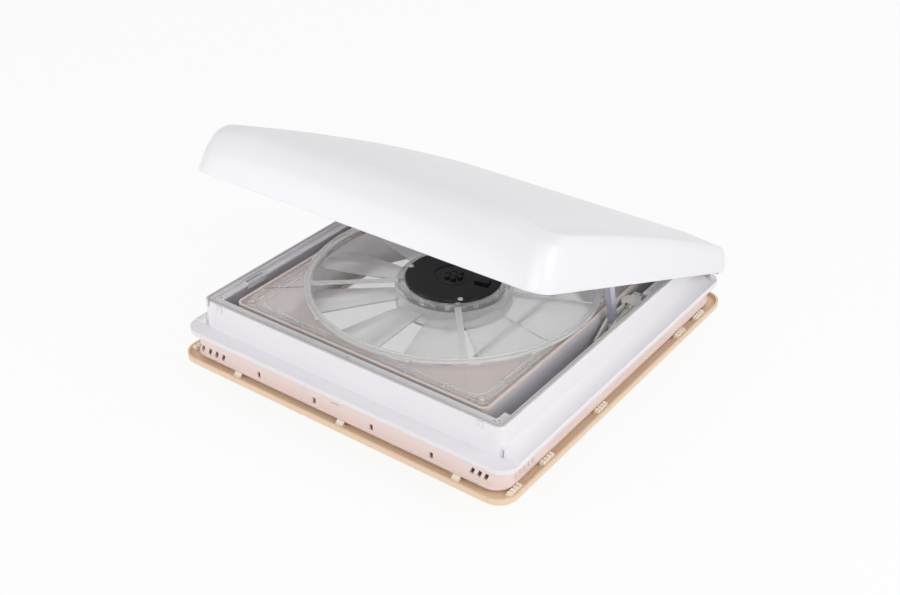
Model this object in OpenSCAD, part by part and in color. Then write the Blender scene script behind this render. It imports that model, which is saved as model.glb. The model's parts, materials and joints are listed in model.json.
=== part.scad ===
// Caravan roof vent with a raised lid, a one-sided worm lifter and a fan in a clear carrier.
// Millimetres. The origin is the centre of the flange on the roof skin: z = 0 is the roof.
// +Z is up, +Y is the hinge side, +X is the lifter side.

/* [Roof opening and flange] */
// Side of the square cut-out in the roof
cutout = 400; // [390:1:410]
// How far the cut-out's centre lies in front of the flange's centre
cutout_dy = 6; // [4:0.5:8]
// How far the flange reaches past the cut-out at the sides
flange_side = 35; // [34:0.5:42]
// How far the flange reaches past the cut-out at the front and back
flange_ends = 43.4; // [42:0.2:50]
// Height of the flange above the roof
flange_h = 6; // [5:0.5:8]
// Radius of the flange's corners
flange_r = 20; // [12:1:26]
// Depth of the neck below the roof
neck_drop = 22; // [16:1:23]
// Wall of the neck
neck_t = 2.2; // [1.8:0.1:2.4]

/* [Upstand] */
// How far the upstand lies outside the cut-out at the sides
wall_side = 14.2; // [13:0.2:15]
// How far the upstand lies outside the cut-out at the front and back
wall_ends = 25.8; // [25:0.2:27]
// Height of the upstand's rim above the roof
wall_top = 44; // [40:0.5:46]
// Wall of the upstand
wall_t = 3; // [2.5:0.1:4]
// Width of the thickened rim
rim_t = 6.2; // [5.5:0.1:6.6]
// Height at which the side coves meet the upstand
cove_top = 18; // [14:0.5:24]
// Radius of the side coves
cove_r = 26; // [22:1:40]

/* [Lid] */
// How far the lid's rim stands outside the upstand at the sides
lid_side = 24.4; // [23.6:0.2:28]
// How far the lid's rim stands in front of the upstand
lid_front = 10.2; // [9.6:0.2:14]
// How far the rear rim lies behind the hinge axis
lid_back = 8; // [7.5:0.25:10]
// Thickness of the lid's skin
lid_t = 3; // [2:0.1:3.2]
// Height of the crown above the rim, where it would be level
crown_h = 66; // [63:1:70]
// How far the crown falls in 253 mm on its way back
crown_fall = 7.4; // [5.6:0.2:8]
// Height of the shoulder above the rim, where it would be level
shoulder_h = 57.5; // [57:0.5:62]
// How far the shoulder falls in 253 mm on its way back
shoulder_fall = 6.2; // [4.6:0.2:6.4]
// Distance from the hinge axis at which the top would be level
crown_u = 520; // [500:5:530]
// Radius of the lid's front corners
lid_front_r = 24; // [16:2:50]
// Opening of the lid at rest
lid_open = 22.6; // [20:0.1:23]

/* [Hinge] */
// Distance of the hinge axis behind the upstand
hinge_back = 9.2; // [8.6:0.1:10]
// Height of the hinge axis above the roof
hinge_z = 17; // [16:0.5:19]
// Radius of the hinge pins
hinge_pin_r = 3; // [2.5:0.1:3.2]

/* [Lifter] */
// How far the lifter's plane lies inside the upstand's outer face
lift_in = 23.7; // [23.2:0.1:24.2]
// Where the arm's pivot lies behind the centre
pivot_y = 42; // [38:1:46]
// Height of the arm's pivot
pivot_z = 20; // [19:0.5:21]
// Length of the lift arm, pivot to roller
arm_len = 118; // [114:1:120]
// Angle of the arm above the front direction at rest
arm_rest = 76; // [72:1:78]
// Turns of the arm for one turn of the lid
arm_ratio = 2.9; // [2.8:0.05:3]
// Module of the worm and the sector
gear_m = 1.75; // [1.6:0.05:1.8]
// Teeth that the sector's full circle would have
gear_n = 40; // [38:1:42]
// Pitch radius of the worm
worm_r = 6.5; // [6:0.1:7]
// Radius of the roller on the arm
roller_r = 5; // [4:0.25:6]

/* [Collar and fan] */
// Gap between the cut-out's edge and the collar at the sides
collar_side = 18; // [17:0.5:20]
// Gap between the cut-out's edge and the collar at the front and back
collar_ends = 5; // [5:0.5:8]
// How far the collar lies to the left of the centre
collar_dx = 4; // [3:0.5:5]
// Height of the collar's rim
collar_top = 37; // [34:0.5:38]
// Wall of the collar
collar_t = 3; // [2.4:0.1:3.4]
// Gap between the tips of the blades and the guard ring's bore
tip_gap = 3.2; // [2:0.2:8]
// Number of blades
blade_n = 10; // [6:1:12]
// Pitch of the blades
blade_pitch = 12; // [6:1:14]
// Radius of the motor's cap
motor_r = 60; // [56:1:61]
// Radius of the rotor's drum
drum_r = 72.5; // [70:0.5:78]

/* [Ceiling side] */
// How far the ceiling frame reaches past the cut-out at the sides
mid_side = 25; // [24:0.5:28]
// How far the ceiling frame reaches past the cut-out at the front and back
mid_ends = 39; // [38:0.5:42]
// How far the ceiling frame reaches below the roof skin
mid_drop = 26.5; // [26:0.5:30]
// How far the trim reaches past the ceiling frame all round
trim_over = 13; // [12.6:0.2:16]
// Height of the ceiling trim
trim_h = 7.5; // [7:0.5:9]
// Length of the hand crank
crank_len = 42; // [34:1:48]
// Radius of the speed knob
knob_r = 15; // [12:0.5:17]

/* [Hidden] */
$fn = 64;
eps = 0.02;
run = 0.05;
// Outer frame
cut_c = [0, -cutout_dy];
flange_w = cutout + 2 * flange_side;
flange_d = cutout + 2 * flange_ends;
wall_w = cutout + 2 * wall_side;
wall_d = cutout + 2 * wall_ends;
neck_w = cutout - 3;
neck_in = neck_w - 2 * neck_t;
neck_r = 12;
plate_t = 3;
lip_t = 3;
wall_r = 9;
hx = wall_w / 2;
hy = wall_d / 2;
groove_in = 2;
groove_w = 2.2;
groove_h = 3;
seal_up = 0.8;
rim_drop = 8;
floor_z = flange_h;
// Inner rail
rail_z = 38;
rail_t = 2.4;
rail_gap = 0.4;
rail_w = wall_w - 2 * rim_t - 2 * rail_gap;
rail_d = wall_d - 2 * rim_t - 2 * rail_gap;
rail_band = 10;
rail_skirt = 1.8;
// Ceiling side
mid_w = cutout + 2 * mid_side;
mid_d = cutout + 2 * mid_ends;
mid_r = 20;
mid_z = -mid_drop;
mid_t = 2.5;
mid_gap = 0.6;
mid_top = -0.4;
trim_w = mid_w + 2 * trim_over;
trim_d = mid_d + 2 * trim_over;
trim_r = 24;
trim_z = mid_z - trim_h;
trim_t = 2.5;
trim_top = mid_z - 0.5;
screen_z = trim_z + trim_t;
clamp_r = 1.6;
clamp_x = mid_w / 2 - 13;
clamp_at = [for (x = [-clamp_x, clamp_x], y = [-mid_d / 2 + 49, mid_d / 2 - 49]) [x, y],
    for (x = [-100, 100], y = [-mid_d / 2 + 17, mid_d / 2 - 23]) [x, y]];
// Lid
lid_half = hx + lid_side;
hinge_y = hy + hinge_back;
lid_reach = hinge_y + hy + lid_front;
crown_span = 253;
lean_side = 9;
lean_front = 18;
lean_rear = 5;
lid_rear_r = 7;
rim_z = hinge_z;
rib_t = 2.6;
rib_gap = 0.5;
// Hinge
knuckle_r = lid_back - lid_t - 0.4;
hinge_base_x = [hx + 4.8, hx + 10.8];
hinge_lug_x = [hx + 11.8, hx + 16.8];
// Lifter
lift_x = hx - lift_in;
worm_starts = 2;
worm_lead = worm_starts * PI * gear_m;
sector_r = gear_m * gear_n / 2;
tip_add = 0.92 * gear_m;
root_add = 1.15 * gear_m;
pressure = 20;
worm_y = pivot_y + sector_r + worm_r;
worm_c = [lift_x, worm_y];
backlash = 0.36;
lead_angle = atan(worm_lead / (2 * PI * worm_r));
arm_closed = arm_rest - arm_ratio * lid_open;
worm_z0 = 7;
worm_z1 = 31.5;
shaft_r = 3.5;
spigot_r = 2.5;
arm_w = 7.4;
arm_d = 9.5;
arm_t = 1.4;
sector_w = 4.4;
arm_pin_r = 3;
roller_pin_r = 2;
roller_gap = 0.35;
roller_w = 6;
roller_x = lift_x + arm_w / 2 + 1.8;
track_t = 2;
track_x = roller_x - 0.8;
track_x1 = roller_x + roller_w + 1.2;
housing_t = 3;
housing_top = 31;
gear_slot = sector_w + 3.4;
box_x0 = lift_x - gear_slot / 2 - housing_t;
box_x1 = lift_x + gear_slot / 2 + housing_t;
well_r = sector_r + 4.5;
disc_r = 12;
cover_t = 3.2;
tab_t = 2.2;
cover_screw_y = worm_y + 17;
cover_screw_dx = 4.5;
// Collar and fan
collar_w = cutout - 2 * collar_side;
collar_d = cutout - 2 * collar_ends;
collar_in_w = collar_w - 2 * collar_t;
collar_in_d = collar_d - 2 * collar_t;
collar_r = 10;
collar_foot = screen_z;
col_c = [-collar_dx, -cutout_dy];
fan_c = col_c + [-1.4, -1.3];
carrier_z = 32.5;
carrier_t = 3;
carrier_lip = 5.2;
ring_r = collar_w / 2 + 0.3;
ring_w = 7.8;
ring_z = 38.5;
ring_h = 3.5;
ring_step = 1.8;
carrier_r = ring_r - ring_w - 0.3;
tip_r = ring_r - ring_w - tip_gap;
strut_n = 4;
strut_a = 40;
cup_r = 62;
cup_t = 3.6;
cup_z = 16;
cup_flange = 6.2;
cap_z = ring_z + ring_h - 1;
motor_top = cap_z + 3.5;
motor_screw_r = motor_r - 3.5;
motor_screw_a = [-46, 74, 194];
drum_t = 2.5;
drum_z0 = 10;
drum_z1 = 35;
rotor_shaft_r = 4;
blade_z = 25.5;
blade_t = 1.8;
corner_at = [for (sx = [-1, 1], sy = [-1, 1]) [sx, sy]];
function bolt_at(c) = fan_c + [c[0] * (collar_w / 2 - 14.5), c[1] * (collar_d / 2 - 17)];
// Controls under the trim
control_x = mid_w / 2 - 13;
knob_y = -45;
switch_y = -105;
fuse_y = -150;

// Shared shapes

module rrect(w, d, r) {
    square([w - 2 * r, d], center = true);
    square([w, d - 2 * r], center = true);
    for (sx = [-1, 1], sy = [-1, 1]) translate([sx * (w / 2 - r), sy * (d / 2 - r)]) circle(r);
}

module slab(c, w, d, r, z0, z1) {
    translate([c[0], c[1], z0]) linear_extrude(z1 - z0) rrect(w, d, r);
}

module frame_ring(c, w, d, r, t, z0, z1) {
    difference() {
        slab(c, w, d, r, z0, z1);
        slab(c, w - 2 * t, d - 2 * t, max(r - t, 1), z0 - 1, z1 + 1);
    }
}

// A 2D profile drawn in the plane across X, from x0 to x1
module across_x(x0, x1) {
    translate([x0, 0, 0]) rotate([90, 0, 90]) linear_extrude(x1 - x0) children();
}

// A 2D profile drawn in the plane across Y, from y0 to y1
module across_y(y0, y1) {
    translate([0, y1, 0]) rotate([90, 0, 0]) linear_extrude(y1 - y0) children();
}

module rod_x(r, x0, x1) {
    translate([x0, 0, 0]) rotate([0, 90, 0]) cylinder(r = r, h = x1 - x0);
}

module rod_z(p, r, z0, z1) {
    translate([p[0], p[1], z0]) cylinder(r = r, h = z1 - z0);
}

// Moves what is drawn on the closed lid to the lid's rest position
module on_lid() {
    translate([0, hinge_y, hinge_z]) rotate([-lid_open, 0, 0]) translate([0, -hinge_y, -hinge_z]) children();
}

// Moves what is drawn with the arm along the front direction to the arm's rest position
module on_arm() {
    translate([0, pivot_y, pivot_z]) rotate([-arm_rest, 0, 0]) children();
}

// Outer frame

function cove_centre() =
    let (a = [hx, cove_top], b = [flange_w / 2, flange_h + 1], m = (a + b) / 2, c = b - a, l = norm(c),
        n = [-c[1], c[0]] / l)
    m + n * sqrt(cove_r * cove_r - l * l / 4);

module cove() {
    c = cove_centre();
    intersection() {
        across_y(-hy + 3, hinge_y - 14) difference() {
            polygon([[hx - 1, flange_h - 1], [flange_w / 2, flange_h - 1], [flange_w / 2, flange_h + 1],
                [hx, cove_top], [hx - 1, cove_top]]);
            translate(c) circle(cove_r, $fn = 128);
        }
        slab([0, 0], flange_w, flange_d, flange_r, 0, cove_top + 1);
    }
}

module rim_groove(z1) {
    frame_ring([0, 0], wall_w - 2 * groove_in, wall_d - 2 * groove_in, wall_r - groove_in, groove_w,
        wall_top - groove_h, z1);
}

module rim_notch() {
    translate([-hx + 8, -hy - 1, wall_top - 7]) cube([3, rim_t + 2, 12]);
}

module outer_frame() {
    color([0.94, 0.94, 0.96]) difference() {
        union() {
            slab([0, 0], flange_w, flange_d, flange_r, flange_h - plate_t, flange_h);
            frame_ring([0, 0], flange_w, flange_d, flange_r, lip_t, 0, flange_h - plate_t + eps);
            frame_ring([0, 0], wall_w, wall_d, wall_r, wall_t, flange_h - eps, wall_top);
            frame_ring([0, 0], wall_w, wall_d, wall_r, rim_t, wall_top - rim_drop, wall_top);
            slab(cut_c, neck_w, neck_w, neck_r, -neck_drop, flange_h - plate_t + eps);
            for (s = [0, 1]) mirror([s, 0, 0]) cove();
            for (p = clamp_at) rod_z(p, clamp_r + 2.9, mid_z + mid_t + 0.3, flange_h - plate_t + eps);
        }
        slab(cut_c, neck_in, neck_in, neck_r - 2, -neck_drop - 1, flange_h + 1);
        rim_groove(wall_top + 1);
        rim_notch();
        // Slots in the gussets at the front ends of the coves
        for (s = [0, 1]) mirror([s, 0, 0]) translate([hx + eps, -hy + 2, flange_h])
            cube([1.6, 10, cove_top - flange_h - 2]);
        for (p = clamp_at) rod_z(p, clamp_r, mid_z, 0);
    }
}

module rim_seal() {
    color([0.62, 0.63, 0.62]) difference() {
        rim_groove(wall_top + seal_up);
        rim_notch();
    }
}

// Ledge inside the upstand, open along the front half of the lifter side

rail_open = [-rail_d / 2 + 23.6, worm_y + 14.5];

module rail_outline(band) {
    difference() {
        rrect(rail_w, rail_d, 4);
        rrect(rail_w - 2 * band, rail_d - 2 * band, 3);
        translate([rail_w / 2 - 2 * band, rail_open[0]]) square([3 * band, rail_open[1] - rail_open[0]]);
    }
}

module inner_rail() {
    x = rail_w / 2;
    y = rail_d / 2;
    small = [[-x + 5, -y + 13], [-x + 5, y - 29], [0, y - 5], [0, -y + 5]];
    raised = [[x - 4, rail_open[1] + 10], [x - 4, y - 29]];
    corner = [x - 5.5, -y + 8];
    pocket = [-x + 2.5, -165];
    top = rail_z + rail_t;
    color([0.93, 0.93, 0.95]) difference() {
        union() {
            translate([0, 0, rail_z]) linear_extrude(rail_t) rail_outline(rail_band);
            translate([0, 0, floor_z]) linear_extrude(rail_z - floor_z + eps) rail_outline(rail_skirt);
            rod_z(corner, 5, rail_z - 8, top + 1.2);
            for (p = raised) rod_z(p, 3.6, rail_z - 6, top + 0.8);
            translate([pocket[0] - 1.5, pocket[1] - 1.5, rail_z - 5]) cube([8, 33, top - rail_z + 6.5]);
        }
        for (p = concat(small, raised, [corner])) rod_z(p, 1.5, rail_z - 12, top + 4);
        translate([pocket[0], pocket[1], rail_z - 4]) cube([5, 30, 12]);
    }
}

// Stops on the front of the rim that catch the skirt of the closed lid

module frame_catch() {
    color([0.95, 0.95, 0.97]) for (s = [-1, 1]) translate([s * (hx - 27), -hy, wall_top]) difference() {
        translate([-4, -1.6, -9]) cube([8, 1.6, 9]);
        translate([-1.2, -2, -6]) cube([2.4, 1.2, 4]);
    }
}

// Hinge

module hinge_bases() {
    color([0.9, 0.9, 0.92]) for (s = [0, 1]) mirror([s, 0, 0]) difference() {
        across_x(hinge_base_x[0], hinge_base_x[1]) {
            translate([hinge_y, hinge_z]) circle(knuckle_r);
            translate([hinge_y - knuckle_r + 0.4, flange_h])
                square([2 * knuckle_r - 0.8, hinge_z - flange_h]);
        }
        translate([0, hinge_y, hinge_z]) rod_x(hinge_pin_r, hinge_base_x[0] - 1, hinge_base_x[1] + 1);
    }
}

module hinge_pins() {
    color([0.18, 0.18, 0.2]) for (s = [0, 1]) mirror([s, 0, 0]) translate([0, hinge_y, hinge_z]) {
        rod_x(hinge_pin_r, hinge_base_x[0] - 1.5, hinge_lug_x[1] + 0.4);
        rod_x(hinge_pin_r + 0.8, hinge_lug_x[1] + 0.4, hinge_lug_x[1] + 1.6);
    }
}

module lid_hinge_lugs() {
    color([0.97, 0.97, 0.98]) on_lid() for (s = [0, 1]) mirror([s, 0, 0]) difference() {
        across_x(hinge_lug_x[0], hinge_lug_x[1]) {
            translate([hinge_y, hinge_z]) circle(knuckle_r);
            translate([hinge_y - knuckle_r, hinge_z]) square([2 * knuckle_r, 24]);
            translate([hinge_y, hinge_z + knuckle_r + 1]) square([lid_back - lid_t / 2 - 0.5, 17]);
        }
        translate([0, hinge_y, hinge_z]) rod_x(hinge_pin_r + run, hinge_lug_x[0] - 1, hinge_lug_x[1] + 1);
    }
}

// Lid: rings of a rounded outline climb the skirt, turn over the shoulder and cross the crown.
// u is the distance from the hinge axis towards the front, and heights are above the rim.

function smooth(t) = let (c = min(max(t, 0), 1)) c * c * (3 - 2 * c);
function crown_at(u) = crown_h - crown_fall * pow((u - crown_u) / crown_span, 2);
function shoulder_at(u) = shoulder_h - shoulder_fall * pow((u - crown_u) / crown_span, 2);
function skin_at(x, u) =
    let (s = smooth((lid_half - 18 - abs(x)) / 52))
    shoulder_at(u) + (crown_at(u) - shoulder_at(u)) * s;

// Share of the skin's height that the skirt has reached, against the share of its lean
function climb(q) = lookup(q, [[0, 0], [0.2, 0.45], [0.6, 0.8], [1, 0.93], [1.25, 0.98], [1.9, 1]]);

arc_n = 6;
side_n = 9;
end_n = 8;

function arc_pts(c, r, a0) =
    [for (i = [0:arc_n]) let (a = a0 + 90 * i / arc_n) c + r * [cos(a), sin(a)]];
function between(a, b, n) = [for (i = [1:n - 1]) a + (b - a) * i / n];

// Outline at a share q of the lean and a further inset, as points of x and y
function outline(q, add) =
    let (x = lid_half - q * lean_side - add, yf = hinge_y - lid_reach + q * lean_front + add,
        yr = hinge_y + lid_back - q * lean_rear - add, rf = max(lid_front_r - 0.3 * add, 4),
        rr = max(lid_rear_r - 0.1 * add, 3),
        a = arc_pts([x - rr, yr - rr], rr, 0), b = arc_pts([-x + rr, yr - rr], rr, 90),
        c = arc_pts([-x + rf, yf + rf], rf, 180), d = arc_pts([x - rf, yf + rf], rf, 270))
    concat(a, between(a[arc_n], b[0], end_n), b, between(b[arc_n], c[0], side_n),
        c, between(c[arc_n], d[0], end_n), d, between(d[arc_n], a[0], side_n));

function lid_ring(q, add, share, down) =
    [for (p = outline(q, add)) [p[0], p[1], rim_z + share * skin_at(p[0], hinge_y - p[1]) - down]];

top_insets = [16, 30, 44, 58, 90, 140, 200];

module lid_shell() {
    outer = concat([for (q = [0, 0.2, 0.6, 1, 1.25]) lid_ring(q, 0, climb(q), 0)],
        [lid_ring(1, 6, 1, 0)], [for (e = top_insets) lid_ring(1, e, 1, 0)]);
    inner = concat([for (e = [200, 140, 90, 58, 44, 30, 16]) lid_ring(1, e, 1, lid_t)],
        [lid_ring(1, 7, 1, lid_t + 0.3)],
        [for (q = [1, 0.6, 0.2]) lid_ring(q, lid_t, climb(q), lid_t * climb(q) * 0.8)],
        [lid_ring(0, lid_t, 0, 0)]);
    rings = concat(outer, inner);
    n = len(rings[0]);
    last_out = len(outer) - 1;
    mid_u = hinge_y - (outer[last_out][0][1] + outer[last_out][floor(n / 2)][1]) / 2;
    top = [0, hinge_y - mid_u, rim_z + skin_at(0, mid_u)];
    pts = concat([for (r = rings) each r], [top, top - [0, 0, lid_t]]);
    m = len(rings);
    function at(k, i) = k * n + (i + n) % n;
    faces = concat(
        [for (k = [0:last_out - 1], i = [0:n - 1], h = [0, 1])
            h == 0 ? [at(k, i), at(k + 1, i), at(k, i + 1)] : [at(k, i + 1), at(k + 1, i), at(k + 1, i + 1)]],
        [for (i = [0:n - 1]) [at(last_out, i), m * n, at(last_out, i + 1)]],
        [for (i = [0:n - 1]) [m * n + 1, at(last_out + 1, i), at(last_out + 1, i + 1)]],
        [for (k = [last_out + 1:m - 2], i = [0:n - 1], h = [0, 1])
            h == 0 ? [at(k, i), at(k + 1, i), at(k, i + 1)] : [at(k, i + 1), at(k + 1, i), at(k + 1, i + 1)]],
        [for (i = [0:n - 1]) each [[at(m - 1, i), at(0, i), at(m - 1, i + 1)],
            [at(m - 1, i + 1), at(0, i), at(0, i + 1)]]]);
    color([0.98, 0.98, 0.99]) on_lid() polyhedron(pts, faces);
}

// Rib inside the lid that comes down onto the seal

// Share of the lean that a point of the lid's inside lies within the rim's outline
function lean_share(p) =
    let (r = lid_front_r, dx = abs(p[0]) - (lid_half - r), dy = hinge_y - lid_reach + r - p[1],
        l = norm([dx, dy]), front = (p[1] - hinge_y + lid_reach) / lean_front,
        rear = (hinge_y + lid_back - p[1]) / lean_rear)
    dx > 0 && dy > 0 ? (r - l) / ((lean_side * dx * dx + lean_front * dy * dy) / (l * l)) : min(front, rear);

function rib_height(p) = skin_at(p[0], hinge_y - p[1]) * climb(lean_share(p)) - lid_t * 0.45;

function rib_outline(w, d, r) =
    let (x = w / 2, y = d / 2, a = arc_pts([x - r, y - r], r, 0), b = arc_pts([-x + r, y - r], r, 90),
        c = arc_pts([-x + r, -y + r], r, 180), e = arc_pts([x - r, -y + r], r, 270))
    concat(a, between(a[arc_n], b[0], 2), b, between(b[arc_n], c[0], side_n), c,
        between(c[arc_n], e[0], end_n), e, between(e[arc_n], a[0], side_n));

module lid_rib() {
    w = wall_w - 2 * groove_in - groove_w + rib_t;
    d = wall_d - 2 * groove_in - groove_w + rib_t;
    foot = wall_top + seal_up + rib_gap;
    out = rib_outline(w, d, wall_r);
    inn = rib_outline(w - 2 * rib_t, d - 2 * rib_t, wall_r - rib_t);
    n = len(out);
    pts = concat([for (p = out) [p[0], p[1], foot]], [for (p = out) [p[0], p[1], rim_z + rib_height(p)]],
        [for (p = inn) [p[0], p[1], rim_z + rib_height(p)]], [for (p = inn) [p[0], p[1], foot]]);
    faces = [for (k = [0:3], i = [0:n - 1], h = [0, 1])
        let (a = k * n + i, b = k * n + (i + 1) % n, c = ((k + 1) % 4) * n + i,
            e = ((k + 1) % 4) * n + (i + 1) % n)
        h == 0 ? [a, c, b] : [b, c, e]];
    color([0.96, 0.96, 0.97]) on_lid() polyhedron(pts, faces);
}

// Lifter: the roller's path on the lid for a lid angle, as distance from the hinge and height

function roller_at(t) =
    let (f = arm_rest - arm_ratio * (lid_open - t), a = hinge_y - pivot_y + arm_len * cos(f),
        b = pivot_z - hinge_z + arm_len * sin(f))
    [a * cos(t) + b * sin(t), b * cos(t) - a * sin(t)];

// The path runs on straight at both ends, past the roller, to the stops
track_n = 14;
track_core = [for (i = [0:track_n]) roller_at(lid_open * i / track_n)];
track_end = roller_r + roller_gap + 0.6;
track_pts = concat([past(track_core[1], track_core[0])], track_core,
    [past(track_core[track_n - 1], track_core[track_n])]);
track_last = track_n + 2;
function past(a, b) = b + track_end * (b - a) / norm(b - a);
function track_normal(i) =
    let (a = track_pts[max(i - 1, 0)], b = track_pts[min(i + 1, track_last)], d = (b - a) / norm(b - a))
    [-d[1], d[0]];
function track_side(h) = [for (i = [0:track_last])
    let (p = track_pts[i] - h * track_normal(i)) [hinge_y - p[0], hinge_z + p[1]]];
function reverse(v) = [for (i = [len(v) - 1:-1:0]) v[i]];

module track_band(h0, h1) {
    polygon(concat(track_side(h0), reverse(track_side(h1))));
}

module lid_track() {
    h = roller_r + roller_gap;
    low = track_side(-h - track_t);
    high = track_side(h + track_t);
    function top_at(y) = [y, rim_z + skin_at(track_x1 + track_t, hinge_y - y) - lid_t / 2];
    color([0.78, 0.79, 0.8]) on_lid() {
        across_x(track_x, track_x1 + eps) {
            track_band(h, h + track_t);
            track_band(-h - track_t, -h);
            for (i = [0, track_last]) polygon([low[i], high[i], high[i] + [i == 0 ? -track_t : track_t, 0],
                low[i] + [i == 0 ? -track_t : track_t, 0]]);
        }
        across_x(track_x1, track_x1 + track_t)
            polygon(concat(low, [top_at(low[track_last][0]), top_at(low[0][0])]));
    }
}

// Pressed steel channel, open towards the roller's far side, straddling the sector's hub

module lift_arm() {
    bend = 14;
    color([0.5, 0.54, 0.6]) on_arm() difference() {
        union() {
            across_x(lift_x - arm_w / 2, lift_x + arm_w / 2) {
                translate([-arm_len + bend, -arm_d / 2]) square([arm_len - bend, arm_d]);
                translate([-arm_len + bend, 0]) circle(arm_d / 2);
                circle(8);
            }
            across_x(lift_x - arm_w / 2, lift_x - arm_w / 2 + 2.4) {
                translate([-arm_len, 0]) circle(4.6);
                translate([-arm_len, -4.6]) square([bend + 2, 9.2]);
            }
        }
        across_x(lift_x - arm_w / 2 + arm_t, lift_x + arm_w / 2 - arm_t) {
            translate([-arm_len - 6, -arm_d / 2 + arm_t]) square([arm_len + 6, arm_d + 8]);
            circle(9);
        }
        rod_x(arm_pin_r + run, lift_x - 10, lift_x + 10);
        translate([0, -arm_len, 0]) rod_x(roller_pin_r, lift_x - 10, lift_x + 10);
    }
}

function inv(a) = tan(a) * 180 / PI - a;
function involute_half(r) =
    90 / gear_n - backlash / sector_r * 45 / PI + inv(pressure)
    - inv(acos(min(sector_r * cos(pressure) / r, 1)));

module sector_tooth() {
    rs = [sector_r - root_add, sector_r - root_add / 2, sector_r, sector_r + tip_add / 2, sector_r + tip_add];
    side = [for (r = rs) let (h = involute_half(max(r, sector_r * cos(pressure)))) [r * cos(h), r * sin(h)]];
    foot = [sector_r - 3 * gear_m, side[0][1]];
    rotate([0, -lead_angle, 0]) across_x(-sector_w / 2, sector_w / 2)
        polygon(concat([foot], side, reverse([for (p = concat([foot], side)) [p[0], -p[1]]])));
}

module sector_gear() {
    pitch = 360 / gear_n;
    count = ceil((arm_rest - arm_closed) / pitch) + 2;
    top_a = 1.5 * pitch;
    low_a = top_a - count * pitch;
    plate_r = sector_r - root_add;
    w = sector_w - 0.2;
    translate([lift_x, pivot_y, pivot_z]) color([0.9, 0.89, 0.8]) difference() {
        union() {
            for (i = [0:count - 1]) rotate([(1 - i) * pitch, 0, 0]) sector_tooth();
            across_x(-w / 2, w / 2) {
                circle(7.6);
                intersection() {
                    circle(plate_r);
                    polygon(concat([[0, 0]], [for (k = [0:3]) let (a = top_a + (low_a - top_a) * k / 3)
                        2 * plate_r * [cos(a), sin(a)]]));
                }
            }
        }
        rod_x(arm_pin_r + run, -10, 10);
        for (b = [-14, -40, -66]) rotate([b, 0, 0]) translate([0, 0.57 * sector_r, 0]) rod_x(4.2, -10, 10);
    }
}

module roller_pin() {
    x0 = lift_x - arm_w / 2;
    color([0.7, 0.71, 0.73]) on_arm() translate([0, -arm_len, 0]) {
        rod_x(roller_pin_r, x0, roller_x + roller_w + 0.6);
        rod_x(roller_pin_r + 1, x0 - 1.4, x0);
        rod_x(roller_pin_r + 0.8, x0 + 2.4, roller_x - 0.3);
    }
}

module arm_roller() {
    color([0.92, 0.92, 0.9]) on_arm() translate([0, -arm_len, 0]) difference() {
        rod_x(roller_r, roller_x, roller_x + roller_w);
        rod_x(roller_pin_r + run, roller_x - 1, roller_x + roller_w + 1);
    }
}

// Gearbox

module housing_profile() {
    polygon([[pivot_y - 32, floor_z], [cover_screw_y + 5, floor_z], [cover_screw_y + 5, housing_top],
        [pivot_y - 6, housing_top], [pivot_y - 26, floor_z + 11], [pivot_y - 32, floor_z + 8]]);
}

module well_profile() {
    translate([pivot_y, pivot_z]) circle(well_r);
    translate([pivot_y, pivot_z - well_r]) square([sector_r + worm_r + 8, 2 * sector_r]);
}

module sector_room() {
    translate([pivot_y, pivot_z]) circle(sector_r + gear_m + 0.8);
}

module gearbox_housing() {
    color([0.87, 0.87, 0.8]) difference() {
        union() {
            across_x(box_x0, box_x1) housing_profile();
            across_x(box_x0, neck_w / 2 - neck_t - 0.4) intersection() {
                well_profile();
                translate([pivot_y - 32, floor_z + eps - 60]) square([200, 60]);
            }
            // Foot in front of the block
            translate([box_x0 + 1, pivot_y - 40, floor_z]) cube([box_x1 - box_x0 + 6, 10, 2.4]);
            rod_z(worm_c, disc_r, floor_z, housing_top);
        }
        // Slot for the arm and the sector
        across_x(lift_x - gear_slot / 2, lift_x + gear_slot / 2) {
            sector_room();
            translate([pivot_y, pivot_z - 9]) square([18, 60]);
            translate([pivot_y - 60, pivot_z - 10]) square([60, 60]);
        }
        rod_z(worm_c, worm_r + gear_m + 0.4, worm_z0 - 1, housing_top + 1);
        rod_z(worm_c, shaft_r + run, pivot_z - well_r - 10, worm_z0);
        translate([0, pivot_y, pivot_z]) rod_x(arm_pin_r, box_x0 - 1, box_x1 + 1);
        for (s = [-1, 1])
            rod_z([lift_x + s * cover_screw_dx, cover_screw_y], 1.3, floor_z + 8, housing_top + 1);
    }
}

module gearbox_cover() {
    color([0.88, 0.88, 0.81]) difference() {
        union() {
            rod_z(worm_c, disc_r, housing_top, housing_top + cover_t);
            translate([lift_x - 7, worm_y + 6, housing_top]) cube([14, cover_screw_y - worm_y - 1, tab_t]);
        }
        rod_z(worm_c, spigot_r + run, housing_top - 1, housing_top + cover_t - 1);
        rod_z(worm_c, worm_r + gear_m + 0.4, housing_top - 1, worm_z1 + 0.6);
        across_x(lift_x - gear_slot / 2, lift_x + gear_slot / 2) sector_room();
        for (s = [-1, 1])
            rod_z([lift_x + s * cover_screw_dx, cover_screw_y], 1.5, housing_top - 1, housing_top + 4);
    }
}

module gearbox_screws() {
    color([0.7, 0.71, 0.73]) for (s = [-1, 1]) {
        p = [lift_x + s * cover_screw_dx, cover_screw_y];
        rod_z(p, 1.3, floor_z + 10, housing_top + tab_t);
        rod_z(p, 2.6, housing_top + tab_t, housing_top + tab_t + 1.4);
    }
}

module arm_pin() {
    color([0.7, 0.71, 0.73]) translate([0, pivot_y, pivot_z]) {
        rod_x(arm_pin_r, box_x0, box_x1 + 0.8);
        rod_x(arm_pin_r + 1.6, box_x1 + 0.8, box_x1 + 2.2);
    }
}

// Worm, with its axis upright, and the crank under the trim

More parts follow.
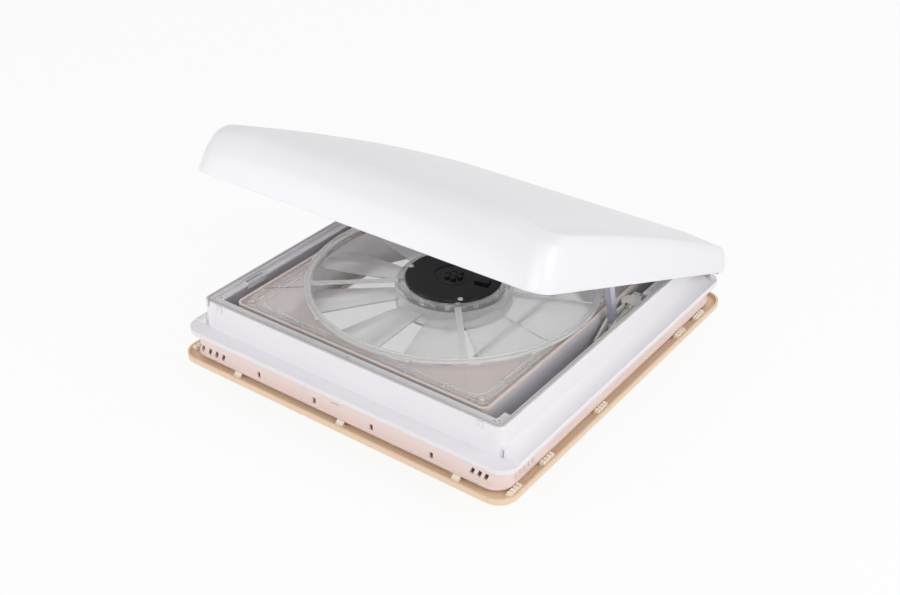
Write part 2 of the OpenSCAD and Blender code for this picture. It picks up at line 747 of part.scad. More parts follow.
function worm_polygon() =
    let (tip = worm_r + tip_add, root = worm_r - root_add, quarter = PI * gear_m / 4 - backlash / 4,
        turn = 360 / worm_lead, a = turn * (quarter - tip_add * tan(pressure)),
        b = turn * (quarter + root_add * tan(pressure)), gap = 360 / worm_starts)
    [for (k = [0:worm_starts - 1]) each
        [for (s = [[tip, -a], [tip, 0], [tip, a], [worm_r, turn * quarter], [root, b],
            [root, gap / 2], [root, gap - b], [worm_r, gap - turn * quarter]])
            s[0] * [cos(s[1] + k * gap), sin(s[1] + k * gap)]]];

hub_top = trim_z - 1;
hub_h = 15;
shaft_end = trim_z - 14;
crank_t = 7;

module worm_shaft() {
    h = worm_z1 - worm_z0;
    color([0.9, 0.89, 0.82]) {
        translate([lift_x, worm_y, worm_z0]) rotate([0, 0, -360 * (pivot_z - worm_z0) / worm_lead])
            linear_extrude(height = h, twist = -360 * h / worm_lead, slices = 46, segments = 16)
                polygon(worm_polygon());
        rod_z(worm_c, spigot_r, worm_z1 - eps, housing_top + cover_t - 1.3);
        rod_z(worm_c, shaft_r, shaft_end, worm_z0 + eps);
    }
}

module crank_handle() {
    z = hub_top - hub_h;
    grip = [lift_x, worm_y - crank_len];
    color([0.88, 0.86, 0.8]) difference() {
        union() {
            rod_z(worm_c, 11, z, hub_top);
            translate([lift_x - 6.5, worm_y - crank_len, z]) cube([13, crank_len, crank_t]);
            rod_z(grip, 6.5, z, z + crank_t);
        }
        rod_z(worm_c, shaft_r, shaft_end, hub_top + 1);
        rod_z(grip, spigot_r + run, z - 1, z + 5);
        translate([lift_x - 4, worm_y - crank_len + 9, z - 1]) cube([8, crank_len - 24, 3]);
    }
}

module crank_knob() {
    color([0.2, 0.2, 0.21]) translate([lift_x, worm_y - crank_len, hub_top - hub_h]) rotate_extrude()
        polygon([[0, -20], [7, -20], [8.5, -18], [8.5, -12], [7, -6], [6.4, -0.4], [spigot_r, -0.4],
            [spigot_r, 4.6], [0, 4.6]]);
}

// Collar and fan

module collar() {
    color([0.93, 0.86, 0.8]) difference() {
        union() {
            frame_ring(col_c, collar_w, collar_d, collar_r, collar_t, collar_foot, collar_top);
            frame_ring(col_c, collar_in_w + eps, collar_in_d + eps, collar_r - collar_t, 1.2, collar_foot,
                carrier_z - 4);
            // Ribbed bosses for the carrier's screws
            intersection() {
                for (c = corner_at) {
                    p = bolt_at(c);
                    rod_z(p, 6, 4, carrier_z);
                    translate([p[0] - (c[0] < 0 ? 14 : 0), p[1] - 1.2, 4]) cube([14, 2.4, carrier_z - 4]);
                    translate([p[0] - 1.2, p[1] - (c[1] < 0 ? 20 : 0), 4]) cube([2.4, 20, carrier_z - 4]);
                }
                slab(col_c, collar_w - 1, collar_d - 1, collar_r, 0, 60);
            }
        }
        for (c = corner_at) rod_z(bolt_at(c), 1.7, 12, carrier_z + 1);
    }
}

module fan_carrier() {
    w = collar_in_w - 1;
    d = collar_in_d - 1;
    r = collar_r - collar_t;
    color([0.86, 0.87, 0.9]) difference() {
        union() {
            slab(col_c, w, d, r, carrier_z, carrier_z + carrier_t);
            frame_ring(col_c, w, d, r, 1.6, carrier_z, collar_top - 0.8);
            frame_ring(col_c, w - 16, d - 16, r, 1.4, carrier_z, collar_top - 1.2);
            intersection() {
                for (a = [strut_a:360 / strut_n:359]) translate([fan_c[0], fan_c[1], carrier_z])
                    rotate([0, 0, a]) translate([carrier_r, -0.9, 0]) cube([70, 1.8, 4]);
                slab(col_c, w, d, r, carrier_z, carrier_z + 10);
            }
            rod_z(fan_c, carrier_r + 1.6, carrier_z, carrier_z + carrier_lip, $fn = 128);
        }
        rod_z(fan_c, carrier_r - 1, carrier_z - 1, carrier_z + 20, $fn = 128);
        for (c = corner_at) {
            rod_z(bolt_at(c), 2, carrier_z - 1, carrier_z + 8);
            rod_z(bolt_at(c), 4, carrier_z + carrier_t, carrier_z + 8);
        }
    }
}

module carrier_screws() {
    color([0.72, 0.73, 0.75]) for (c = corner_at) {
        rod_z(bolt_at(c), 1.7, 12, carrier_z + carrier_t);
        rod_z(bolt_at(c), 3.4, carrier_z + carrier_t, carrier_z + carrier_t + 1.8);
    }
}

module guard_ring() {
    foot = carrier_z + carrier_lip;
    strut = [cup_r + cup_flange, ring_r - ring_w + 1];
    color([0.88, 0.9, 0.92]) translate([fan_c[0], fan_c[1], 0]) {
        difference() {
            union() {
                translate([0, 0, ring_z]) cylinder(r = ring_r, h = ring_h, $fn = 160);
                translate([0, 0, foot]) cylinder(r = carrier_r + 1.6, h = ring_z - foot + eps, $fn = 160);
                for (a = [20:45:359]) rotate([0, 0, a]) translate([ring_r - 2, -3, ring_z])
                    cube([4.4, 6, 2.2]);
            }
            translate([0, 0, foot - 1]) cylinder(r = ring_r - ring_w, h = 20, $fn = 160);
            translate([0, 0, ring_z + 2]) difference() {
                cylinder(r = ring_r - ring_step, h = 5, $fn = 160);
                translate([0, 0, -1]) cylinder(r = ring_r - ring_w + ring_step, h = 7, $fn = 160);
            }
        }
        for (a = [strut_a:360 / strut_n:359]) rotate([0, 0, a]) {
            translate([strut[0], -1.1, foot]) cube([strut[1] - strut[0], 2.2, cap_z - foot]);
            translate([strut[0], -4, cap_z - 1.2]) cube([strut[1] - strut[0], 8, 1.2]);
        }
    }
}

module motor_mount() {
    color([0.9, 0.91, 0.93]) translate([fan_c[0], fan_c[1], 0]) difference() {
        union() {
            translate([0, 0, cup_z]) cylinder(r = cup_r, h = ring_z + 1.5 - cup_z, $fn = 128);
            translate([0, 0, ring_z]) cylinder(r = cup_r + cup_flange, h = cap_z - ring_z, $fn = 128);
            for (a = [0:30:359]) rotate([0, 0, a]) translate([cup_r + 1, -3, ring_z - 3]) cube([4, 6, 5]);
            for (a = [strut_a:360 / strut_n:359]) rotate([0, 0, a]) translate([cup_r + 2, 0, ring_z - 8])
                cylinder(r = 3.4, h = cap_z - ring_z + 10);
        }
        translate([0, 0, cup_z + drum_t]) cylinder(r = cup_r - cup_t, h = 40, $fn = 128);
        translate([0, 0, cup_z - 1]) cylinder(r = 9, h = 10);
        for (a = [15:30:359]) rotate([0, 0, a]) translate([cup_r + 3, -3.4, ring_z - 1]) cube([2, 6.8, 5]);
    }
}

module motor_housing() {
    z = cup_z + drum_t;
    r = cup_r - cup_t - 0.3;
    color([0.1, 0.1, 0.11]) translate([fan_c[0], fan_c[1], 0]) difference() {
        union() {
            translate([0, 0, z]) cylinder(r = r, h = cap_z - z, $fn = 128);
            translate([0, 0, drum_z0 + drum_t + 0.5]) cylinder(r = 8.6, h = 8);
        }
        translate([0, 0, drum_z0]) cylinder(r = rotor_shaft_r + run, h = 14.1);
        for (a = [0:30:359]) rotate([0, 0, a]) translate([38, -3, z - 1]) cube([12, 6, 3]);
    }
}

module motor_cap() {
    color([0.06, 0.06, 0.07]) translate([fan_c[0], fan_c[1], 0]) difference() {
        union() {
            translate([0, 0, cap_z]) cylinder(r = motor_r, h = motor_top - cap_z - 0.8, $fn = 128);
            translate([0, 0, cap_z]) cylinder(r = motor_r - 0.9, h = motor_top - cap_z, $fn = 128);
        }
        translate([0, 0, motor_top - 1]) difference() {
            cylinder(r = 25, h = 3);
            translate([0, 0, -1]) cylinder(r = 22.5, h = 5);
        }
        translate([0, 0, motor_top - 0.6]) cylinder(r = 22.6, h = 3);
        for (a = motor_screw_a) rotate([0, 0, a]) translate([motor_screw_r, 0, cap_z - 1])
            cylinder(r = 1.6, h = 6);
    }
}

module motor_plug() {
    z = motor_top - 0.6;
    color([0.08, 0.08, 0.09]) translate([fan_c[0], fan_c[1], 0]) {
        for (a = [0:60:359]) rotate([0, 0, a]) translate([9, 0, z]) cylinder(r = 3.4, h = 2.6);
        translate([0, 0, z]) cylinder(r = 4, h = 2);
        rotate([0, 0, 10]) translate([30, -5, motor_top]) cube([18, 10, 3.4]);
    }
}

module motor_screws() {
    color([0.75, 0.76, 0.78]) translate([fan_c[0], fan_c[1], 0]) for (a = motor_screw_a)
        rotate([0, 0, a]) translate([motor_screw_r, 0, 0]) {
            translate([0, 0, cap_z]) cylinder(r = 1.6, h = motor_top - cap_z);
            translate([0, 0, motor_top]) cylinder(r = 3, h = 1.6);
        }
}

module motor_shaft() {
    color([0.75, 0.76, 0.78]) rod_z(fan_c, rotor_shaft_r, 0.5, drum_z0 + 14);
}

module blade() {
    r_bend = 190;
    intersection() {
        translate([0, 0, blade_z]) rotate([blade_pitch, 0, 0]) translate([drum_r - 1.6, 0, -r_bend])
            difference() {
                rotate([0, 90, 0]) cylinder(r = r_bend + blade_t / 2, h = tip_r, $fn = 180);
                translate([-1, 0, 0]) rotate([0, 90, 0]) cylinder(r = r_bend - blade_t / 2, h = tip_r + 2,
                    $fn = 180);
            }
        translate([0, 0, 2]) linear_extrude(drum_z1 - 2) intersection() {
            circle(tip_r, $fn = 160);
            polygon([[0, -6], [tip_r + 20, -(tip_r + 20) * tan(13.6)], [tip_r + 20, (tip_r + 20) * tan(13.6)],
                [0, 6]]);
        }
    }
}

module impeller() {
    color([0.9, 0.91, 0.93]) translate([fan_c[0], fan_c[1], 0]) difference() {
        union() {
            difference() {
                translate([0, 0, drum_z0]) cylinder(r = drum_r, h = drum_z1 - drum_z0, $fn = 128);
                translate([0, 0, drum_z0 + drum_t]) cylinder(r = drum_r - drum_t, h = 60, $fn = 128);
            }
            translate([0, 0, 4]) cylinder(r = 9, h = 8);
            for (a = [0:60:359]) rotate([0, 0, a]) translate([6, -1, 5]) cube([drum_r - 8, 2, 6]);
            for (i = [0:blade_n - 1]) rotate([0, 0, 8 + 360 * i / blade_n]) blade();
        }
        translate([0, 0, drum_z0 + drum_t]) cylinder(r = drum_r - drum_t, h = 60, $fn = 128);
        cylinder(r = rotor_shaft_r, h = 40);
        for (a = [30:60:359]) rotate([0, 0, a]) translate([0.58 * drum_r, 0, 0]) cylinder(r = 9, h = 40);
    }
}

module impeller_nut() {
    color([0.75, 0.76, 0.78]) difference() {
        translate([fan_c[0], fan_c[1], 1]) cylinder(r = 7.5, h = 3, $fn = 6);
        rod_z(fan_c, rotor_shaft_r, 0, 6);
    }
}

// Ceiling side

notch_x = [-117, -31.5, 51.8, 134.2];
louvre_l = [for (e = [16, 28, 39, 50]) -mid_w / 2 + e];
louvre_n = [for (e = [37, 28, 19.5]) mid_w / 2 - e];

module louvre(x, z, w, l, h) {
    translate([x, -mid_d / 2 - 1, z]) rotate([0, 20, 0]) translate([-w / 2, 0, -h / 2]) cube([w, l, h]);
}

module ceiling_frame() {
    inner_w = neck_w + 2 * mid_gap;
    color([0.97, 0.91, 0.89]) difference() {
        union() {
            slab([0, 0], mid_w, mid_d, mid_r, mid_z, mid_z + mid_t);
            frame_ring([0, 0], mid_w, mid_d, mid_r, mid_t, mid_z, mid_top);
            frame_ring([0, 0], mid_w + 4, mid_d + 4, mid_r + 2, 5, mid_z, mid_z + 1.6);
            frame_ring(cut_c, inner_w + 2 * mid_t, inner_w + 2 * mid_t, neck_r + 2, mid_t, mid_z, mid_top);
            // Short upright ribs near the front ends of the sides
            for (s = [0, 1], i = [0:4]) mirror([s, 0, 0])
                translate([mid_w / 2 - 1, -mid_d / 2 + 25 + 8 * i, mid_z + 4]) cube([2.2, 2, 16]);
        }
        slab(col_c, collar_w + 0.6, collar_d + 0.6, collar_r, mid_z - 1, 5);
        slab(cut_c, inner_w, inner_w, neck_r, mid_z + mid_t, 5);
        for (x = notch_x) translate([x - 2.2, -mid_d / 2 - 1, mid_z + 4]) cube([4.4, mid_t + 2, 8]);
        for (x = louvre_l) louvre(x, -18, 4.4, 9, 10);
        for (x = louvre_n) louvre(x, -13, 4, 6, 9);
        translate([-6, -mid_d / 2 - 1, -9.6]) cube([12, mid_t + 2, 1.2]);
        for (p = clamp_at) rod_z(p, clamp_r + 0.5, mid_z - 1, mid_z + mid_t + 1);
        rod_z(worm_c, shaft_r + 1.2, mid_z - 2, 5);
        rod_z([control_x, knob_y], 4, mid_z - 1, mid_z + mid_t + 1);
        translate([control_x, switch_y, mid_z]) cube([11, 21, 8], center = true);
        rod_z([control_x, fuse_y], 5, mid_z - 1, mid_z + mid_t + 1);
    }
}

module clamp_screws() {
    color([0.72, 0.73, 0.75]) for (p = clamp_at) {
        rod_z(p, clamp_r, mid_z, -4);
        rod_z(p, clamp_r + 2, mid_z - 2, mid_z);
    }
}

module ceiling_trim() {
    color([0.9, 0.8, 0.67]) difference() {
        union() {
            slab([0, 0], trim_w, trim_d, trim_r, trim_z, trim_z + trim_t);
            frame_ring([0, 0], trim_w, trim_d, trim_r, trim_t, trim_z, trim_top);
            frame_ring(col_c, collar_w + 6, collar_d + 6, collar_r + 3, 2.4, trim_z, mid_z - 0.2);
            for (x = [-160, -80, 80, 160], s = [-1, 1])
                translate([x - 1, s * (mid_d / 2 - 14) - 13, trim_z]) cube([2, 26, trim_h - 0.2]);
        }
        slab(col_c, collar_in_w - 6, collar_in_d - 6, collar_r - 2, trim_z - 1, 5);
        rod_z(worm_c, shaft_r + 1.5, trim_z - 1, 0);
        rod_z([control_x, knob_y], 4, trim_z - 1, 0);
        translate([control_x, switch_y, trim_z]) cube([10, 20, 12], center = true);
        rod_z([control_x, fuse_y], 5, trim_z - 1, 0);
    }
}

side_clip_y = [-mid_d / 2 + 15, -161, -48, 142, mid_d / 2 - 46];

module trim_side_clips() {
    z0 = trim_z + trim_t;
    h = mid_z - z0 + 3;
    color([0.99, 0.96, 0.88]) for (s = [0, 1]) mirror([s, 0, 0]) for (y = side_clip_y) {
        translate([mid_w / 2 + 2.2, y - 11, z0]) cube([7.2, 22, h - 4]);
        for (i = [0:3]) translate([mid_w / 2 + 3, y - 10 + 5.6 * i, z0 + h - 4 - eps]) cube([5, 3.2, 2]);
    }
}

front_clip_x = [-148, 10, 170];

module trim_front_clips() {
    z0 = trim_z + trim_t;
    color([0.99, 0.93, 0.8]) for (s = [0, 1]) mirror([0, s, 0]) for (x = front_clip_x)
        across_x(x - 5, x + 5)
            polygon([[-mid_d / 2 - 2.4, z0], [-mid_d / 2 - 10, z0], [-mid_d / 2 - 2.4, mid_z + 0.5]]);
}

module screen_frame() {
    w = collar_in_w - 3.4;
    d = collar_in_d - 3.4;
    color([0.85, 0.8, 0.74]) difference() {
        union() {
            frame_ring(col_c, w, d, 6, 7, screen_z, screen_z + 4);
            for (x = [-60, 60]) translate([col_c[0] + x - 1.5, col_c[1] - d / 2 + 1, screen_z])
                cube([3, d - 2, 4]);
        }
        slab(col_c, w - 6, d - 6, 4, screen_z + 1.6, screen_z + 2.4);
    }
}

module fly_screen() {
    color([0.55, 0.55, 0.56])
        slab(col_c, collar_in_w - 10, collar_in_d - 10, 4, screen_z + 1.7, screen_z + 2.3);
}

// Controls

box_z = mid_z + mid_t;
switch_z = trim_z + 2;

module control_box() {
    color([0.25, 0.26, 0.28]) difference() {
        translate([control_x - 7.5, fuse_y - 14, box_z]) cube([15, knob_y - fuse_y + 40, 18]);
        rod_z([control_x, knob_y], 3 + run, box_z - 1, box_z + 12);
        translate([control_x, switch_y, box_z]) cube([11, 21, 14], center = true);
    }
}

module speed_knob() {
    z = trim_z - 0.6;
    color([0.93, 0.92, 0.9]) translate([control_x, knob_y, 0]) difference() {
        union() {
            translate([0, 0, z]) rotate_extrude() polygon([[0, 0], [knob_r, 0], [knob_r, -3],
                [knob_r - 3, -14], [knob_r - 4, -15], [0, -15]]);
            translate([0, 0, z - 1]) cylinder(r = 3, h = box_z + 9 - z);
        }
        for (a = [0:30:359]) rotate([0, 0, a]) translate([knob_r + 1.2, 0, z - 16]) cylinder(r = 2.2, h = 13);
        translate([-0.8, 4, z - 16]) cube([1.6, 20, 2]);
    }
}

module switch_bezel() {
    color([0.16, 0.16, 0.17]) translate([control_x, switch_y, trim_z]) difference() {
        union() {
            translate([-6.5, -12.5, -1.6]) cube([13, 25, 1.6]);
            translate([-4.6, -9.6, -eps]) cube([9.2, 19.2, 7.5]);
        }
        translate([-3.6, -8.4, -2]) cube([7.2, 16.8, 12]);
        translate([0, 0, switch_z - trim_z]) rod_x(1 + run, -6, 6);
    }
}

module mode_switch() {
    color([0.1, 0.1, 0.11]) translate([control_x, switch_y, switch_z]) {
        across_x(-3.3, 3.3) polygon([[-7.4, -2.2], [0, -3.4], [7.4, -2.2], [7.2, 0.6], [3, 2.6], [-3, 2.6],
            [-7.2, 0.6]]);
        rod_x(1, -4.4, 4.4);
    }
}

module fuse_cap() {
    color([0.2, 0.2, 0.21]) translate([control_x, fuse_y, trim_z]) difference() {
        union() {
            translate([0, 0, -3]) cylinder(r = 8, h = 3);
            translate([0, 0, -eps]) cylinder(r = 4.8, h = box_z - trim_z);
        }
        translate([-6, -0.8, -4]) cube([12, 1.6, 2]);
    }
}

outer_frame();
rim_seal();
inner_rail();
frame_catch();
hinge_bases();
hinge_pins();
lid_shell();
lid_rib();
lid_hinge_lugs();
lid_track();
lift_arm();
sector_gear();
roller_pin();
arm_roller();
gearbox_housing();
gearbox_cover();
gearbox_screws();
arm_pin();
worm_shaft();
crank_handle();
crank_knob();
collar();
fan_carrier();
carrier_screws();
guard_ring();
motor_mount();
motor_housing();
motor_cap();
motor_plug();
motor_screws();
motor_shaft();
impeller();
impeller_nut();
ceiling_frame();
clamp_screws();
ceiling_trim();
trim_side_clips();
trim_front_clips();
screen_frame();
fly_screen();
control_box();
speed_knob();
mode_switch();
switch_bezel();
fuse_cap();
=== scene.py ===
"""Looks of a caravan roof vent: lid, outer frame, worm lifter, fan and ceiling side.

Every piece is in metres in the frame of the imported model: the roof skin is z = 0, +Z is up,
+Y is the hinge side and +X is the lifter side.
"""

from __future__ import annotations

import json  # noqa: E402
import logging  # noqa: E402
import math  # noqa: E402
from dataclasses import dataclass, field  # noqa: E402
from enum import Enum  # noqa: E402

import bmesh  # noqa: E402
import bpy  # noqa: E402
from mathutils import Matrix, Vector  # noqa: E402


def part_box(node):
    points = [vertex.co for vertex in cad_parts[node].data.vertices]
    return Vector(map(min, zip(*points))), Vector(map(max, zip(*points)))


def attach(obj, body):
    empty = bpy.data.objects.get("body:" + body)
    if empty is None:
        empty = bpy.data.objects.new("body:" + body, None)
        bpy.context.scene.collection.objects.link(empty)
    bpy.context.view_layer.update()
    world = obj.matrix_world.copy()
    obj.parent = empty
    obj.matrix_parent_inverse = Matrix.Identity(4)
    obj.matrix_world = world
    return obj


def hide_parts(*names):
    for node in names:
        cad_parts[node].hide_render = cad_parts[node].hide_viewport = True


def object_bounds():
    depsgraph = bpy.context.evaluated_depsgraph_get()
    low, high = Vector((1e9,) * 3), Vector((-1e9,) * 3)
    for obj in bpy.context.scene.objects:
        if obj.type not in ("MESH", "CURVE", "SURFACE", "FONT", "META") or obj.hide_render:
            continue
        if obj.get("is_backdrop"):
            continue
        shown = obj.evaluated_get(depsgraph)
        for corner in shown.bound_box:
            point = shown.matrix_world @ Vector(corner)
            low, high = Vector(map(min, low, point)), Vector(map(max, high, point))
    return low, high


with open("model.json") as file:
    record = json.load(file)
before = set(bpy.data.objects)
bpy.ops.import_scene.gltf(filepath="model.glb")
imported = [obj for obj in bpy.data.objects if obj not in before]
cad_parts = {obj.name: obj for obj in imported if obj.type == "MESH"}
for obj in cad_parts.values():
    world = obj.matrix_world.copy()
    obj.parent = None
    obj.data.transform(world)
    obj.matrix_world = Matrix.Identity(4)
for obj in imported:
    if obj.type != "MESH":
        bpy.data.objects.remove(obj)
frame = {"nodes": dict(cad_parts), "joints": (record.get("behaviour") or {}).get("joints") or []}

log = logging.getLogger("roof_vent")

Colour = tuple[float, float, float]
Point = tuple[float, float, float]
MM = 0.001
SURFACE_OUTPUTS = {
    "Colour": "NodeSocketColor",
    "Roughness": "NodeSocketFloat",
    "Normal": "NodeSocketVector",
}


# Places and node trees


def joint_of(name: str) -> dict:
    """Returns the frame's joint of that name."""
    return next(j for j in frame["joints"] if j["name"] == name)


@dataclass(frozen=True)
class Extent:
    """The box of a CAD node at rest."""

    low: Vector
    high: Vector

    @classmethod
    def of(cls, node: str) -> Extent:
        """Returns the box of the node of that name."""
        return cls(*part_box(node))

    @property
    def mid(self) -> Vector:
        """The middle of the box."""
        return (self.low + self.high) / 2

    @property
    def size(self) -> Vector:
        """The box's length each way."""
        return self.high - self.low


class Tree:
    """A node tree with short calls for adding and linking nodes."""

    def __init__(self, tree: bpy.types.NodeTree) -> None:
        """Takes the tree to add nodes to.

        Args:
            tree: a shader or geometry node tree.
        """
        self.tree = tree

    def add(self, kind: str, inputs: dict | None = None, **settings: object) -> bpy.types.Node:
        """Adds a node.

        Args:
            kind: the node's type name.
            inputs: values or output sockets, by input name or number.
            settings: properties of the node itself.

        Returns:
            The new node.
        """
        node = self.tree.nodes.new(kind)
        for key, value in settings.items():
            setattr(node, key, value)
        self.fill(node, inputs or {})
        return node

    def feed(self, node: bpy.types.Node, key: str | int, value: object) -> None:
        """Links an output socket to an input, or sets the input's value.

        Args:
            node: the node that takes it.
            key: the input's name or number.
            value: an output socket, or a plain value.
        """
        socket = node.inputs[key]
        if isinstance(value, bpy.types.NodeSocket):
            self.tree.links.new(value, socket)
        else:
            socket.default_value = value

    def fill(self, node: bpy.types.Node, values: dict) -> None:
        """Feeds several inputs of a node.

        Args:
            node: the node that takes them.
            values: values or output sockets, by input name or number.
        """
        for key, value in values.items():
            self.feed(node, key, value)

    def maths(self, operation: str, *values: object) -> bpy.types.NodeSocket:
        """Adds a Math node and returns its output."""
        return self.add("ShaderNodeMath", dict(enumerate(values)), operation=operation).outputs[0]

    def about(self, value: object, middle: float, share: object) -> bpy.types.NodeSocket:
        """Returns how far a value is from its middle, times a share."""
        return self.maths("MULTIPLY", self.maths("SUBTRACT", value, middle), share)

    def mix(self, factor: object, first: object, second: object) -> bpy.types.NodeSocket:
        """Adds a mix of two colours, whose colour inputs are 6 and 7.

        Args:
            factor: the share of the second colour.
            first: a colour or an output socket.
            second: a colour or an output socket.

        Returns:
            The mixed colour's socket.
        """
        node = self.add("ShaderNodeMix", data_type="RGBA")
        self.fill(node, {0: factor, 6: first, 7: second})
        return node.outputs[2]

    def bump(
        self, strength: float, depth: object, height: object, normal: object
    ) -> bpy.types.NodeSocket:
        """Adds a Bump node.

        Args:
            strength: how much of the bump shows.
            depth: the bump's depth in metres.
            height: the socket of the pattern.
            normal: the socket of the normal that it changes.

        Returns:
            The bumped normal's socket.
        """
        values = {"Strength": strength, "Distance": depth, "Height": height, "Normal": normal}
        return self.add("ShaderNodeBump", values).outputs[0]


def group(
    name: str, ins: dict[str, tuple[str, object]], outs: dict[str, str]
) -> tuple[Tree, dict, bpy.types.Node]:
    """Makes a shader node group.

    Args:
        name: the group's name.
        ins: socket type and default value of each input.
        outs: socket type of each output.

    Returns:
        The tree, its input sockets by name, and its output node.
    """
    made = bpy.data.node_groups.new(name, "ShaderNodeTree")
    for key, (kind, value) in ins.items():
        made.interface.new_socket(key, in_out="INPUT", socket_type=kind).default_value = value
    for key, kind in outs.items():
        made.interface.new_socket(key, in_out="OUTPUT", socket_type=kind)
    tree = Tree(made)
    entry = tree.add("NodeGroupInput")
    return tree, {s.name: s for s in entry.outputs if s.name}, tree.add("NodeGroupOutput")


class SurfaceEffects:
    """Shader groups that several finishes share, each built once."""

    flow_scale: float = 9.0
    flow_roughness: float = 0.16
    grain_strength: float = 0.6
    scuff_gain: float = 4.0
    brightest: Colour = (0.98, 0.98, 0.98)
    line_scale: float = 900.0
    line_strength: float = 0.5
    line_shade: float = 0.2
    spangle_scale: float = 260.0
    spangle_roughness: float = 0.12
    bevel_samples: int = 6
    _made: dict[str, bpy.types.NodeTree] = {}

    @classmethod
    def get(cls, name: str) -> bpy.types.NodeTree:
        """Finds a group, or builds it at first use.

        Args:
            name: moulded or drawn.

        Returns:
            The group of that name.
        """
        if name not in cls._made:
            cls._made[name] = getattr(cls, "_" + name)()
        return cls._made[name]

    @classmethod
    def _moulded(cls) -> bpy.types.NodeTree:
        """Moulded plastic: soft flow marks, fine grain, rounded and slightly scuffed edges.

        Returns:
            The new group.
        """
        tree, ins, out = group(
            "MouldedSurface",
            {
                "Colour": ("NodeSocketColor", (0.8, 0.8, 0.8, 1)),
                "Roughness": ("NodeSocketFloat", 0.4),
                "Mottle": ("NodeSocketFloat", 0.03),
                "Grain Scale": ("NodeSocketFloat", 1400.0),
                "Grain Depth": ("NodeSocketFloat", 0.00002),
                "Edge Radius": ("NodeSocketFloat", 0.0006),
                "Edge Scuff": ("NodeSocketFloat", 0.1),
            },
            SURFACE_OUTPUTS,
        )
        spot = tree.add("ShaderNodeTexCoord").outputs["Object"]
        marks = {"Vector": spot, "Scale": cls.flow_scale, "Detail": 3.0, "Roughness": 0.55}
        flow = tree.add("ShaderNodeTexNoise", marks).outputs["Fac"]
        grain = tree.add("ShaderNodeTexNoise", {"Vector": spot, "Scale": ins["Grain Scale"], "Detail": 2.0})
        soft = tree.add("ShaderNodeBevel", {"Radius": ins["Edge Radius"]}, samples=cls.bevel_samples)
        normal = tree.bump(cls.grain_strength, ins["Grain Depth"], grain.outputs["Fac"], soft.outputs[0])
        true = tree.add("ShaderNodeNewGeometry").outputs["Normal"]
        turned = tree.add("ShaderNodeVectorMath", {0: soft.outputs[0], 1: true}, operation="DOT_PRODUCT")
        facing = turned.outputs["Value"]
        # The rounded normal turns away from the true one only at an edge
        edge = tree.maths("MULTIPLY", tree.maths("SUBTRACT", 1.0, facing), cls.scuff_gain)
        worn = tree.maths("MULTIPLY", tree.maths("MINIMUM", edge, 1.0), ins["Edge Scuff"])
        mottled = tree.maths("ADD", 1.0, tree.about(flow, 0.5, ins["Mottle"]))
        tone = tree.maths("ADD", mottled, worn)
        scaled = tree.add("ShaderNodeVectorMath", {0: ins["Colour"], "Scale": tone}, operation="SCALE")
        most = {0: scaled.outputs[0], 1: cls.brightest}
        capped = tree.add("ShaderNodeVectorMath", most, operation="MINIMUM")
        rough = tree.maths("ADD", ins["Roughness"], tree.about(flow, 0.5, cls.flow_roughness))
        tree.fill(out, {"Colour": capped.outputs[0], "Roughness": rough, "Normal": normal})
        return tree.tree

    @classmethod
    def _drawn(cls) -> bpy.types.NodeTree:
        """Drawn or turned metal: fine lines, patches of zinc spangle that shine less, soft edges.

        Returns:
            The new group.
        """
        tree, ins, out = group(
            "DrawnMetal",
            {
                "Colour": ("NodeSocketColor", (0.6, 0.6, 0.6, 1)),
                "Roughness": ("NodeSocketFloat", 0.3),
                "Stretch": ("NodeSocketVector", (1.0, 1.0, 1.0)),
                "Line Depth": ("NodeSocketFloat", 0.00001),
                "Edge Radius": ("NodeSocketFloat", 0.0004),
            },
            SURFACE_OUTPUTS,
        )
        spot = tree.add("ShaderNodeTexCoord").outputs["Object"]
        run = tree.add("ShaderNodeVectorMath", {0: spot, 1: ins["Stretch"]}, operation="MULTIPLY")
        drawn = {"Vector": run.outputs[0], "Scale": cls.line_scale, "Detail": 3.0}
        lines = tree.add("ShaderNodeTexNoise", drawn).outputs["Fac"]
        patch = {"Vector": spot, "Scale": cls.spangle_scale}
        spangle = tree.add("ShaderNodeTexVoronoi", patch, feature="F1")
        soft = tree.add("ShaderNodeBevel", {"Radius": ins["Edge Radius"]}, samples=cls.bevel_samples)
        normal = tree.bump(cls.line_strength, ins["Line Depth"], lines, soft.outputs[0])
        tone = tree.maths("ADD", 0.9, tree.maths("MULTIPLY", lines, cls.line_shade))
        base = tree.add("ShaderNodeVectorMath", {0: ins["Colour"], "Scale": tone}, operation="SCALE")
        patches = tree.about(spangle.outputs["Distance"], 0.3, cls.spangle_roughness)
        rough = tree.maths("ADD", ins["Roughness"], patches)
        tree.fill(out, {"Colour": base.outputs[0], "Roughness": rough, "Normal": normal})
        return tree.tree


def shader(name: str) -> tuple[bpy.types.Material, Tree, bpy.types.Node]:
    """Makes an empty node material with a Principled BSDF.

    Args:
        name: the material's name.

    Returns:
        The material, its tree and the Principled node.
    """
    material = bpy.data.materials.new(name)
    material.use_nodes = True
    material.node_tree.nodes.clear()
    tree = Tree(material.node_tree)
    surface = tree.add("ShaderNodeBsdfPrincipled")
    tree.add("ShaderNodeOutputMaterial", {"Surface": surface.outputs[0]})
    return material, tree, surface


def coated(
    name: str, effect: str, values: dict
) -> tuple[bpy.types.Material, Tree, bpy.types.Node, bpy.types.Node]:
    """Makes a material that takes its colour, roughness and normal from a surface effect.

    Args:
        name: the material's name.
        effect: the name of the surface effect.
        values: the effect's inputs by name.

    Returns:
        The material, its tree, the Principled node and the effect's node.
    """
    material, tree, surface = shader(name)
    look = tree.add("ShaderNodeGroup", node_tree=SurfaceEffects.get(effect))
    tree.fill(look, values)
    tree.feed(surface, "Base Color", look.outputs["Colour"])
    tree.feed(surface, "Roughness", look.outputs["Roughness"])
    tree.feed(surface, "Normal", look.outputs["Normal"])
    return material, tree, surface, look


